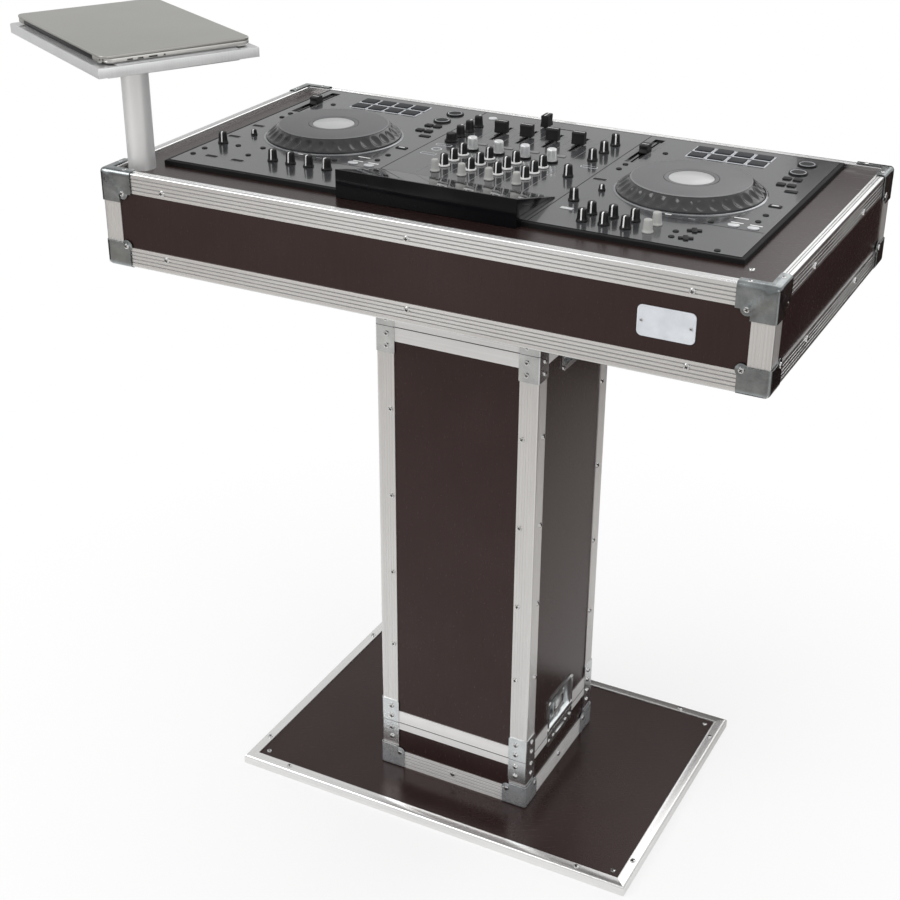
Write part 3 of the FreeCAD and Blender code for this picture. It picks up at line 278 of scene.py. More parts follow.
@dataclass(frozen=True)
class Extrusion(Finish):
    """Satin anodised aluminium profile with fine draw lines along its run."""

    run: Run = Run.FRAME
    corner_split: float = 0.0
    back: float = 0.0
    tone: Colour = (0.80, 0.79, 0.775)
    metal: float = 0.8
    gloss: float = 0.24

    def paint(self, recipe: Recipe) -> None:
        """Draw lines follow each length of a frame, or the upright.

        Args:
            recipe: recipe to fill.
        """
        x, y, z = recipe.split(recipe.place())
        depth = y - self.back
        if self.run is Run.UPRIGHT:
            lines_at = recipe.joined(x * 900.0, depth * 900.0, z * 1.6)
            cloud_at = recipe.joined(x * 30.0, depth * 30.0, z * 6.0)
        else:
            side = (abs(x) - abs(depth)).above(self.corner_split)
            along = x + (depth - x) * side
            across = depth + (x - depth) * side
            lines_at = recipe.joined(along * 1.6, across * 900.0, z * 900.0)
            cloud_at = recipe.joined(along * 6.0, across * 30.0, z * 30.0)
        lines = recipe.noise(lines_at, 1.0, 3.0, 0.6)
        cloud = recipe.noise(cloud_at, 1.0, 3.0)
        recipe.tint(lines * 0.6 + cloud * 0.4, times(self.tone, 0.84), self.tone)
        recipe.set(Metallic=self.metal, Roughness=self.gloss + 0.10 * lines + 0.08 * cloud)
        recipe.bump(lines, 0.00004, 0.4)


@dataclass(frozen=True)
class Plating(Finish):
    """Zinc-plated pressed steel: blue-grey, cloudy, with rolled lines and dull handling marks."""

    dark: Colour = (0.58, 0.61, 0.62)
    light: Colour = (0.80, 0.825, 0.83)
    warm: Colour = (0.70, 0.69, 0.63)
    gloss: float = 0.14
    wave: float = 0.00018
    metal: float = 1.0

    def paint(self, recipe: Recipe) -> None:
        """Clouded zinc with a faint warm passivation.

        Args:
            recipe: recipe to fill.
        """
        where = recipe.place()
        cloud = recipe.noise(where, 38.0, 4.0, 0.6)
        speck = recipe.noise(where, 900.0)
        zinc = recipe.blend((cloud * 0.75 + speck * 0.25).fitted(0.32, 0.68), self.dark, self.light)
        warm = recipe.noise(where, 24.0).fitted(0.55, 0.8, 0.0, 0.35)
        recipe.set(Base_Color=recipe.blend(warm, zinc, self.warm))
        recipe.set(Metallic=self.metal, Roughness=self.gloss + 0.14 * cloud + 0.06 * speck)
        recipe.bump(cloud * 0.9 + speck * 0.1, self.wave, 0.4)


@dataclass(frozen=True)
class BeadBlast(Finish):
    """Bead-blasted, anodised sheet aluminium: very fine even grain."""

    tone: Colour = (0.53, 0.527, 0.50)
    metal: float = 1.0

    def paint(self, recipe: Recipe) -> None:
        """Fine grain in colour, gloss and height.

        Args:
            recipe: recipe to fill.
        """
        where = recipe.place()
        grain = recipe.noise(where, 2600.0)
        cloud = recipe.noise(where, 12.0)
        recipe.tint(grain * 0.5 + cloud * 0.5, times(self.tone, 0.92), self.tone)
        recipe.set(Metallic=self.metal, Roughness=0.36 + 0.08 * grain + 0.05 * cloud)
        recipe.bump(grain, 0.00004, 0.5)


@dataclass(frozen=True)
class Moulding(Finish):
    """Moulded plastic or soft-touch rubber with a fine grain."""

    tone: Colour
    gloss: float
    grain: float = 1500.0
    relief: float = 0.00006
    coat: float = 0.0
    shine: float = 0.3

    def paint(self, recipe: Recipe) -> None:
        """Grain, slight cloud and rubbed places.

        Args:
            recipe: recipe to fill.
        """
        where = recipe.place()
        grain = recipe.noise(where, self.grain)
        cloud = recipe.noise(where, 55.0, 3.0)
        recipe.tint(grain * 0.4 + cloud * 0.6, self.tone, times(self.tone, 1.28, 0.002))
        rubbed = recipe.noise(where, 160.0, 4.0, 0.65).fitted(0.55, 0.75)
        recipe.set(Roughness=self.gloss + 0.10 * grain - 0.08 * rubbed, Specular_IOR_Level=self.shine)
        recipe.set(Coat_Weight=self.coat, Coat_Roughness=0.12)
        recipe.bump(grain, self.relief, 0.5)


@dataclass(frozen=True)
class FacePlate(Finish):
    """The console's dark grey lacquered plate with a fine metal flake, over black flanks."""

    tone: Colour = (0.068, 0.069, 0.073)
    flank: Colour = (0.006, 0.006, 0.0065)
    metal: float = 0.30
    level: float = 1.0486

    def paint(self, recipe: Recipe) -> None:
        """Flake under a smooth lacquer, with faint wiping marks.

        Args:
            recipe: recipe to fill.
        """
        where = recipe.place()
        x, y, z = recipe.split(where)
        flake = recipe.noise(where, 3400.0, 1.0)
        wipe = recipe.noise(recipe.joined(x * 30.0 + y * 8.0, y * 30.0 - x * 8.0, z), 1.0, 4.0, 0.6)
        grey = recipe.blend(flake.fitted(0.3, 0.75), self.tone, times(self.tone, 1.45))
        top = z.above(self.level)
        recipe.set(Base_Color=recipe.blend(top, self.flank, grey))
        recipe.set(Metallic=top * self.metal, Roughness=0.13 + 0.07 * wipe + 0.04 * flake)
        recipe.set(Coat_Weight=0.5, Coat_Roughness=0.04)
        recipe.bump(flake, 0.00002, 0.3)


@dataclass(frozen=True)
class Lacquer(Finish):
    """Deep gloss: piano black or display glass."""

    tone: Colour = (0.005, 0.005, 0.006)
    gloss: float = 0.05
    shine: float = 0.3

    def paint(self, recipe: Recipe) -> None:
        """A mirror gloss with faint finger marks and dust.

        Args:
            recipe: recipe to fill.
        """
        where = recipe.place()
        smear = recipe.noise(where, 26.0, 5.0, 0.6).fitted(0.48, 0.75)
        dust = recipe.noise(where, 800.0).fitted(0.66, 0.78)
        recipe.set(Base_Color=recipe.blend(dust * 0.6 + smear * 0.2, self.tone, times(self.tone, 1.0, 0.012)))
        recipe.set(Roughness=self.gloss + 0.07 * smear + 0.10 * dust, Specular_IOR_Level=self.shine)
        recipe.set(Coat_Weight=0.1, Coat_Roughness=0.04)


@dataclass(frozen=True)
class TurnedPlate(Finish):
    """A round plate with fine concentric lines about its own centre."""

    centre: Point2
    tone: Colour = (0.155, 0.155, 0.160)
    metal: float = 0.15
    gloss: float = 0.40

    def paint(self, recipe: Recipe) -> None:
        """Concentric lines in colour and gloss.

        Args:
            recipe: recipe to fill.
        """
        x, y, z = recipe.split(recipe.place())
        east = x - self.centre[0] * MM
        north = y - self.centre[1] * MM
        radius = (east * east + north * north).math("SQRT")
        rings = recipe.noise(recipe.joined(radius * 1400.0, 0.0, 0.0), 1.0, 3.0)
        cloud = recipe.noise(recipe.joined(x, y, z), 25.0, 3.0)
        recipe.tint(rings * 0.5 + cloud * 0.5, self.tone, times(self.tone, 1.12))
        recipe.set(Metallic=self.metal, Roughness=self.gloss + 0.10 * rings)
        recipe.bump(rings, 0.00003, 0.4)


@dataclass(frozen=True)
class PlanedWood(Finish):
    """Planed softwood battens inside the tray."""

    dark: Colour = (0.34, 0.22, 0.11)
    light: Colour = (0.55, 0.39, 0.22)

    def paint(self, recipe: Recipe) -> None:
        """Growth lines along the batten.

        Args:
            recipe: recipe to fill.
        """
        x, y, z = recipe.split(recipe.place())
        grain = recipe.noise(recipe.joined(x * 4.0, y * 40.0, z * 60.0), 2.0, 4.0, 0.6)
        recipe.tint(grain, self.dark, self.light, 0.15)
        recipe.set(Roughness=0.55 + 0.2 * grain)
        recipe.bump(grain, 0.0002, 0.4)


BOARD = FilmBoard("film_board")
TRAY_PROFILE = Extrusion("tray_profile", corner_split=0.228, tone=(0.91, 0.91, 0.905), metal=0.96, gloss=0.18)
FOOT_PROFILE = Extrusion("foot_profile", Run.FRAME, 0.107, 0.008, (0.95, 0.945, 0.935), gloss=0.12)
CASE_PROFILE = Extrusion("case_profile", tone=(0.90, 0.89, 0.88), metal=0.35)
ANGLE_PROFILE = Extrusion("angle_profile", Run.UPRIGHT)
STAND_PLATE = Extrusion("stand_plate", Run.UPRIGHT, tone=(0.78, 0.785, 0.79))
POLE_TUBE = BeadBlast("pole_tube", (0.90, 0.90, 0.895), 0.6)
ZINC = Plating("zinc_plate")
PLINTH_ZINC = Plating("plinth_zinc", (0.40, 0.43, 0.45), (0.58, 0.61, 0.63), gloss=0.18, metal=0.65)
CAP_ZINC = Plating("cap_zinc", (0.18, 0.195, 0.20), (0.37, 0.395, 0.40), (0.42, 0.42, 0.40), 0.07, 0.0011)
BRIGHT_ZINC = Plating("bright_zinc", (0.60, 0.62, 0.63), (0.82, 0.83, 0.83), gloss=0.08)
SCREW_ZINC = Plating("screw_zinc", (0.66, 0.66, 0.66), (0.86, 0.86, 0.85), gloss=0.10)
KNOB_SILVER = Plating("knob_silver", (0.80, 0.81, 0.82), (0.94, 0.94, 0.94), gloss=0.14, metal=0.65)
RING_SILVER = Plating("ring_silver", (0.30, 0.31, 0.32), (0.44, 0.44, 0.45), (0.42, 0.42, 0.41), 0.18)
LAPTOP_SILVER = BeadBlast("laptop_silver")
# A lighter copy of the laptop's aluminium for the base: its sides are painted lighter, as lit.
LAPTOP_LIT_EDGE = BeadBlast("laptop_lit_edge", (0.78, 0.777, 0.75))
FACE_GREY = FacePlate("face_grey")
PIANO_BLACK = Lacquer("piano_black", gloss=0.14, shine=0.12)
DISPLAY_GLASS = Lacquer("display_glass", (0.004, 0.0045, 0.006), 0.025, 0.6)
BADGE_WHITE = Moulding("badge_white", (0.56, 0.58, 0.61), 0.30)
# Painted shade: the dark lines at the bottom of the profiles' grooves.
GROOVE_SHADE = Moulding("groove_painted_shade", (0.26, 0.255, 0.25), 0.60)
# Painted shade: the cross recess of the screw heads.
RECESS_SHADE = Moulding("recess_painted_shade", (0.010, 0.010, 0.010), 0.55)
# Black plastic of the laptop, and painted shade: the gaps at the column's splits, the gap round the touch pad
# and the finger notch.
HINGE_BLACK_AND_PAINTED_SHADE = Moulding("hinge_black_and_painted_shade", (0.010, 0.010, 0.011), 0.35)
SHELL_BLACK = Moulding("shell_black", (0.007, 0.007, 0.008), 0.38)
SOFT_BLACK = Moulding("soft_black", (0.008, 0.008, 0.0085), 0.36, 2400.0)
JOG_RIM = Moulding("jog_rim", (0.030, 0.030, 0.032), 0.13, 1100.0, 0.00002, shine=0.6)
KNOB_GREY = Moulding("knob_grey", (0.42, 0.42, 0.405), 0.45)
MARK_WHITE = Moulding("mark_white", (0.90, 0.90, 0.89), 0.45)
LAMP_WHITE = Moulding("lamp_white", (0.62, 0.63, 0.64), 0.25, coat=0.4)
# Grey print, and the lighter edge of the wheel plates, which is partly painted highlight.
PRINT_GREY_AND_EDGE_HIGHLIGHT = Moulding("print_grey_and_edge_highlight", (0.23, 0.23, 0.235), 0.40)
# Black seams and slot liners, and the band of painted shadow round the console.
SEAM_AND_SHADOW_BLACK = Moulding("seam_and_shadow_black", (0.004, 0.004, 0.004), 0.60)
PAD_RUBBER = Moulding("pad_rubber", (0.024, 0.0255, 0.030), 0.52, 2000.0)
FRAME_PALE = Moulding("frame_pale", (0.66, 0.68, 0.71), 0.35)
BUTTON_BLACK = Moulding("button_black", (0.006, 0.006, 0.0065), 0.50)
FADER_BLACK = Moulding("fader_black", (0.009, 0.009, 0.0095), 0.42)
BATTEN = PlanedWood("batten_wood")


# Forms and pieces


def rectangle(low_x: float, low_y: float, high_x: float, high_y: float) -> list[Point2]:
    """The corners of a rectangle."""
    return [(low_x, low_y), (high_x, low_y), (high_x, high_y), (low_x, high_y)]


def mirrored(half: Sequence[Point2], axis: int = 0) -> list[Point2]:
    """An outline from one half of it and that half's image, with coordinate 0 or 1 turned round."""
    signs = (-1.0, 1.0) if axis == 0 else (1.0, -1.0)
    return [*half, *((signs[0] * a, signs[1] * b) for a, b in reversed(half))]


class Form:
    """A solid in the making, in millimetres, shaped with bmesh operators."""

    def __init__(self, outline: Iterable[Point3] = ()) -> None:
        """Starts empty, or with one face on an outline.

        Args:
            outline: corners of the face.
        """
        self.bm = bmesh.new()
        verts = [self.bm.verts.new(point) for point in outline]
        if verts:
            self.bm.faces.new(verts)

    @classmethod
    def block(cls, low: Point3, high: Point3, bevel: float = 0.0, segments: int = 2) -> "Form":
        """A block from its low to its high corner, its edges softened.

        Args:
            low: lowest corner.
            high: highest corner.
            bevel: width of the softened edge.
            segments: steps round the edge.

        Returns:
            The block.
        """
        form = cls()
        size = Vector(high) - Vector(low)
        middle = (Vector(high) + Vector(low)) / 2
        matrix = Matrix.Translation(middle) @ Matrix.Diagonal((*size, 1.0))
        bmesh.ops.create_cube(form.bm, size=1.0, matrix=matrix)
        return form.softened(bevel, segments)

    @classmethod
    def lathe(cls, profile: Sequence[Point2], steps: int = 48) -> "Form":
        """A profile of radii and heights spun about Z.

        Args:
            profile: points from the outside foot round to the axis or back to the start.
            steps: facets round the axis.

        Returns:
            The turned form.
        """
        form = cls()
        verts = [form.bm.verts.new((radius, 0.0, height)) for radius, height in profile]
        edges = [form.bm.edges.new(pair) for pair in zip(verts, verts[1:])]
        bmesh.ops.spin(
            form.bm,
            geom=[*verts, *edges],
            cent=(0.0, 0.0, 0.0),
            axis=UP,
            angle=math.tau,
            steps=steps,
            use_merge=True,
        )
        bmesh.ops.remove_doubles(form.bm, verts=form.bm.verts, dist=1e-4)
        bmesh.ops.dissolve_degenerate(form.bm, edges=form.bm.edges, dist=1e-5)
        return form.sealed()

    @classmethod
    def hoop(cls, profile: Sequence[Point2], steps: int) -> "Form":
        """A closed profile spun about Z."""
        return cls.lathe([*profile, profile[0]], steps)

    @classmethod
    def drawn(cls, outline: Iterable[Point3], carry: Callable[[Vector], Vector]) -> "Form":
        """An outline drawn out to where carry takes each of its points.

        Args:
            outline: corners of one end.
            carry: takes a corner to the other end.

        Returns:
            The form.
        """
        form = cls(outline)
        for vert in form.grown():
            vert.co = carry(vert.co)
        return form.sealed()

    @classmethod
    def prism(cls, low: float, high: float, profile: Iterable[Point2]) -> "Form":
        """A profile of Y and Z drawn out along X."""
        return cls.drawn([(low, y, z) for y, z in profile], lambda p: Vector((high, p.y, p.z)))

    @classmethod
    def plate(
        cls, points: Iterable[Point2], thickness: float, radius: float = 0.0, segments: int = 5
    ) -> "Form":
        """A flat plate on an outline in XY, drawn up from Z = 0.

        Args:
            points: corners of the outline.
            thickness: height of the plate.
            radius: rounding of the corners.
            segments: steps round each corner.

        Returns:
            The plate.
        """
        form = cls((x, y, 0.0) for x, y in points)
        if radius:
            form.bevelled(form.bm.verts, radius, segments, "VERTICES")
        bmesh.ops.translate(form.bm, vec=(0.0, 0.0, thickness), verts=form.grown())
        return form.sealed()

    @classmethod
    def tile(cls, half_x: float, half_y: float, thickness: float, radius: float, segments: int = 5) -> "Form":
        """A rectangular plate about the origin."""
        return cls.plate(rectangle(-half_x, -half_y, half_x, half_y), thickness, radius, segments)

    def grown(self) -> list[bmesh.types.BMVert]:
        """Extrudes all faces as one region and gives the vertices of the new end."""
        made = bmesh.ops.extrude_face_region(self.bm, geom=list(self.bm.faces))
        return [item for item in made["geom"] if isinstance(item, bmesh.types.BMVert)]

    def bevelled(
        self, geom: Iterable, width: float, segments: int, affect: str = "EDGES", clamp: bool = False
    ) -> "Form":
        """Rounds edges or corners.

        Args:
            geom: edges or vertices.
            width: size of the rounding.
            segments: steps of the rounding.
            affect: EDGES or VERTICES.
            clamp: whether roundings are kept from overlapping.

        Returns:
            The form.
        """
        bmesh.ops.bevel(
            self.bm,
            geom=list(geom),
            offset=width,
            offset_type="OFFSET",
            segments=segments,
            profile=0.5,
            affect=affect,
            clamp_overlap=clamp,
            material=-1,
        )
        return self

    def softened(self, width: float, segments: int = 2, limit: float = SHARP_ANGLE) -> "Form":
        """Bevels every edge that is sharper than a limit.

        Args:
            width: width of the bevel.
            segments: steps of the bevel.
            limit: angle between faces from which an edge is sharp.

        Returns:
            The form.
        """
        if width > 0.0:
            sharp = [e for e in self.bm.edges if len(e.link_faces) == 2 and e.calc_face_angle() > limit]
            self.bevelled(sharp, width, segments, clamp=True)
        return self.sealed()

    def tops(self) -> list[bmesh.types.BMFace]:
        """The faces that look up."""
        return [face for face in self.bm.faces if face.normal.z > 0.9]

    def inset(self, faces: list[bmesh.types.BMFace], *steps: Point2, open_rim: bool = False) -> "Form":
        """Insets faces as one region, step by step.

        Args:
            faces: faces of the region.
            steps: width and rise of each step.
            open_rim: whether the region has a free edge.

        Returns:
            The form.
        """
        for width, rise in steps:
            bmesh.ops.inset_region(
                self.bm, faces=faces, thickness=width, depth=rise, use_boundary=open_rim, use_even_offset=True
            )
        return self

    def cut(self, point: Sequence[float], normal: Sequence[float]) -> "Form":
        """Cuts the faces along a plane and keeps both sides.

        Args:
            point: point on the plane.
            normal: direction across it.

        Returns:
            The form.
        """
        geom = [*self.bm.verts, *self.bm.edges, *self.bm.faces]
        bmesh.ops.bisect_plane(self.bm, geom=geom, plane_co=point, plane_no=normal)
        return self

    def thickened(self, thickness: float, outward: Point3) -> "Form":
        """Makes a closed solid of an open sheet, whose faces are first turned to look outwards.

        Args:
            thickness: thickness of the wall.
            outward: direction that the sheet looks in.

        Returns:
            The form.
        """
        faces = self.sealed().bm.faces
        if sum(face.normal.dot(Vector(outward)) for face in faces) < 0.0:
            bmesh.ops.reverse_faces(self.bm, faces=faces)
        bmesh.ops.solidify(self.bm, geom=faces, thickness=thickness)
        return self.sealed()

    def sculpted(self, move: Callable[[Vector], Vector]) -> "Form":
        """Moves every point by a rule.

        Args:
            move: takes a point to its new place.

        Returns:
            The form.
        """
        for vert in self.bm.verts:
            vert.co = move(vert.co)
        return self.sealed()

    def moved(self, matrix: Matrix) -> "Form":
        """Carries the whole form by a matrix."""
        bmesh.ops.transform(self.bm, matrix=matrix, verts=self.bm.verts)
        return self.sealed()

    def sealed(self) -> "Form":
        """Turns all faces outwards."""
        bmesh.ops.recalc_face_normals(self.bm, faces=self.bm.faces)
        return self


def shift(x: float = 0.0, y: float = 0.0, z: float = 0.0) -> Matrix:
    """A move without a turn."""
    return Matrix.Translation((x, y, z))


def turn(angle: float, axis: str = "Z") -> Matrix:
    """A turn in degrees about an axis."""
    return Matrix.Rotation(math.radians(angle), 4, axis)


def facing(where: Sequence[float], normal: Sequence[float], spin: float = 0.0) -> Matrix:
    """Stands a form, made along Z, on a surface with an outward direction and a turn about it."""
    upright = Vector(normal).to_track_quat("Z", "Y").to_matrix().to_4x4()
    return Matrix.Translation(where) @ upright @ turn(spin)


class Piece:
    """One visible object, gathered from forms with their finishes."""

    def __init__(self, name: str, base: Matrix = Matrix.Identity(4)) -> None:
        """Starts an empty piece whose forms are placed from a base.

        Args:
            name: name of the object.
            base: place that its forms start from.
        """
        self.name = name
        self.base = base
        self.bm = bmesh.new()
        self.finishes: list[Finish] = []

    def add(self, form: Form, finish: Finish, *matrices: Matrix) -> "Piece":
        """Adds a form once for each matrix.

        Args:
            form: shape in millimetres.
            finish: finish of these faces.
            matrices: places from the base; one copy on the base if none is given.

        Returns:
            The piece.
        """
        if finish not in self.finishes:
            self.finishes.append(finish)
        index = self.finishes.index(finish)
        mesh = bpy.data.meshes.new("form")
        form.bm.to_mesh(mesh)
        for matrix in matrices or (Matrix.Identity(4),):
            place = self.base @ matrix
            first_vert = len(self.bm.verts)
            first_face = len(self.bm.faces)
            self.bm.from_mesh(mesh)
            self.bm.verts.ensure_lookup_table()
            self.bm.faces.ensure_lookup_table()
            faces = self.bm.faces[first_face:]
            bmesh.ops.transform(self.bm, matrix=place, verts=self.bm.verts[first_vert:])
            for face in faces:
                face.material_index = index
            if place.determinant() < 0.0:
                bmesh.ops.reverse_faces(self.bm, faces=faces)
        bpy.data.meshes.remove(mesh)
        return self

    def spread(self, form: Form, finish: Finish, spots: Iterable[Point2], z: float = 0.0) -> "Piece":
        """Adds a form at each of some spots in XY."""
        return self.add(form, finish, *(shift(x, y, z) for x, y in spots))

    def done(self, body: str, slot: str, *nodes: str) -> None:
        """Makes the object, in metres, and ties it to the part.

        Args:
            body: body that the piece moves with.
            slot: not used.
            nodes: nodes of the part that it stands for.
        """
        bmesh.ops.scale(self.bm, vec=(MM, MM, MM), verts=self.bm.verts)
        for face in self.bm.faces:
            face.smooth = True
        for edge in self.bm.edges:
            edge.smooth = len(edge.link_faces) == 2 and edge.calc_face_angle() < SHARP_ANGLE
        made = linked(self.name, self.bm, *(finish.material() for finish in self.finishes))
        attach(made, body)
        if nodes:
            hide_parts(*nodes)
        LOG.info("%s: %d faces on %s", self.name, len(made.data.polygons), body)


def linked(name: str, bm: bmesh.types.BMesh, *materials: bpy.types.Material) -> bpy.types.Object:
    """Makes an object of a finished bmesh and links it to the scene.

    Args:
        name: name of the object and its mesh.
        bm: its shape, which is freed.
        materials: its materials in order.

    Returns:
        The new object.
    """
    mesh = bpy.data.meshes.new(name)
    bm.to_mesh(mesh)
    bm.free()
    for material in materials:
        mesh.materials.append(material)
    made = bpy.data.objects.new(name, mesh)
    bpy.context.scene.collection.objects.link(made)
    return made


def node_box(node: str) -> tuple[Vector, Vector]:
    """Low and high corner of a node's box in millimetres."""
    low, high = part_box(node)
    return low / MM, high / MM


def node_spot(node: str) -> Point2:
    """Middle of a node's box in XY, in millimetres."""
    low, high = node_box(node)
    return (low.x + high.x) / 2.0, (low.y + high.y) / 2.0


def dress(finish: Finish, *nodes: str) -> None:
    """Gives nodes of the part a finish of the scene.

    Args:
        finish: finish of the scene.
        nodes: names of the nodes.
    """
    for node in nodes:
        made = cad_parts[node]
        made.data.materials.clear()
        made.data.materials.append(finish.material())
        LOG.info("%s: finished with %s", node, finish.name)


# Profiles and hardware of the case


@dataclass(frozen=True)
class Grooves:
    """Evenly spaced grooves across a face, each with a line of painted shade at its bottom."""

    length: float
    count: int
    width: float = 1.8
    depth: float = 0.8

    def middles(self) -> list[float]:
        """Places of the grooves along the face."""
        return [self.length * (index + 1) / (self.count + 1) for index in range(self.count)]

    def path(self) -> list[Point2]:
        """Runs and depths along the face, from 0 to its length.

        Returns:
            Points from one end of the face to the other.
        """
        points: list[Point2] = [(0.0, 0.0)]
        for middle in self.middles():
            for share, fall in ((-0.5, 0.0), (-0.35, 1.0), (0.35, 1.0), (0.5, 0.0)):
                points.append((middle + share * self.width, fall * self.depth))
        return [*points, (self.length, 0.0)]

    def lines(self) -> list[list[Point2]]:
        """Runs and depths of the line of painted shade in each groove."""
        half, low, high = 0.30 * self.width, self.depth + 0.05, self.depth - 0.2
        return [rectangle(middle - half, low, middle + half, high) for middle in self.middles()]

    def drawn(self, carry: Callable[[float, float], Point2]) -> tuple[list[Point2], list[list[Point2]]]:
        """The face and its lines of painted shade, each run and depth carried to a point of a section."""
        lines = [[carry(*point) for point in line] for line in self.lines()]
        return [carry(*point) for point in self.path()], lines


def dedupe(points: Iterable[Point2]) -> list[Point2]:
    """An outline without points that repeat the one before.

    Args:
        points: points of the outline.

    Returns:
        The outline without repeats.
    """
    kept: list[Point2] = []
    for point in points:
        if not kept or math.dist(point, kept[-1]) > 1e-4:
            kept.append(point)
    if math.dist(kept[0], kept[-1]) < 1e-4:
        kept.pop()
    return kept


@dataclass
class MitredFrame:
    """Four lengths of a profile round a rectangle, mitred at the corners."""

    half_x: float
    half_y: float
    level: float
    back: float = 0.0
    gap: float = 0.0

    def outline(self, section: Sequence[Point2], sx: float, sy: float) -> list[Point3]:
        """A section of depths and heights, stood at a corner of the frame."""
        x, y = self.half_x, self.half_y
        return [(sx * (x - d), self.back + sy * (y - d), self.level + h) for d, h in section]

    def lengths(self, section: Sequence[Point2]) -> list[Form]:
        """Draws the lengths.

        Args:
            section: depth inwards and height of each corner of the profile.

        Returns:
            The forms of the four lengths, or six where a gap splits the sides.
        """
        forms = []
        for sign in BOTH:
            forms.append(Form.drawn(self.outline(section, -1.0, sign), lambda p: Vector((-p.x, p.y, p.z))))
            for end in BOTH if self.gap else BOTH[:1]:
                forms.append(Form.drawn(self.outline(section, sign, end), self.side_carry(end)))
        return forms

    def add_to(
        self, piece: Piece, finish: Finish, section: Iterable[Point2], lines: Sequence[Sequence[Point2]] = ()
    ) -> None:
        """Adds the lengths to a piece.

        Args:
            piece: piece that takes them.
            finish: finish of the profile.
            section: depth inwards and height of each corner of the profile.
            lines: sections of the lines of painted shade in its grooves.
        """
        for form in self.lengths(dedupe(section)):
            piece.add(form, finish)
        # Lines of painted shade at the bottom of the grooves.
        for form in itertools.chain.from_iterable(self.lengths(line) for line in lines):
            piece.add(form, GROOVE_SHADE)

    def side_carry(self, end: float) -> Callable[[Vector], Vector]:
        """Where a side length ends: at the gap, or mirrored at the far corner.

        Args:
            end: -1 for the front end and 1 for the rear.

        Returns:
            A rule that takes a corner of the section to the far end.
        """
        stop = self.back + end * self.gap / 2.0
        if self.gap:
            return lambda p: Vector((p.x, stop, p.z))
        return lambda p: Vector((p.x, 2.0 * self.back - p.y, p.z))


@dataclass
class Fasteners:
    """All pan-head screws of the case, gathered into one piece."""

    radius: float = 4.5
    height: float = 2.5
    spin_step: float = 47.0
    places: list[Matrix] = field(default_factory=list)

    def put(self, x: float, y: float, z: float, normal: Sequence[float], scale: float = 1.0) -> None:
        """Adds a screw that looks along an outward normal, with a turn of its own."""
        spin = (len(self.places) * self.spin_step) % 90.0
        self.places.append(facing((x, y, z), normal, spin) @ Matrix.Diagonal((scale, scale, scale, 1.0)))

    def seat(self, at: Matrix, lift: float = 0.0, scale: float = 1.0) -> None:
        """Adds a screw at the origin of a place, along its Z."""
        normal = (at.to_3x3() @ Vector(UP)).normalized()
        self.put(*(at.translation + normal * lift), normal, scale)

    def build(self) -> None:
        """Makes the piece: domed heads, each with a cross of painted shade for its recess, which stands a
        little proud to show.
        """
        r, h = self.radius, self.height
        head = Form.lathe([(r, -0.3), (r, 0.4), (0.84 * r, 0.76 * h), (0.5 * r, h), (0.0, h)], 12)
        # The cross is painted shade: a dark plate where the recess lies in shade.
        recess = Form.plate(cross(0.54 * r, 0.54 * r, 0.15 * r), 0.5).moved(shift(z=h - 0.42))
        piece = Piece("case_screws").add(head, SCREW_ZINC, *self.places)
        piece.add(recess, RECESS_SHADE, *self.places).done("booth", "zinc_steel")


def cross(far_x: float, far_y: float, wide: float) -> list[Point2]:
    """The outline of a cross from the reach of its arms and half their width."""
    low = [(-far_x, -wide), (-wide, -wide), (-wide, -far_y), (wide, -far_y), (wide, -wide), (far_x, -wide)]
    return mirrored(low, 1)


SCREWS = Fasteners()


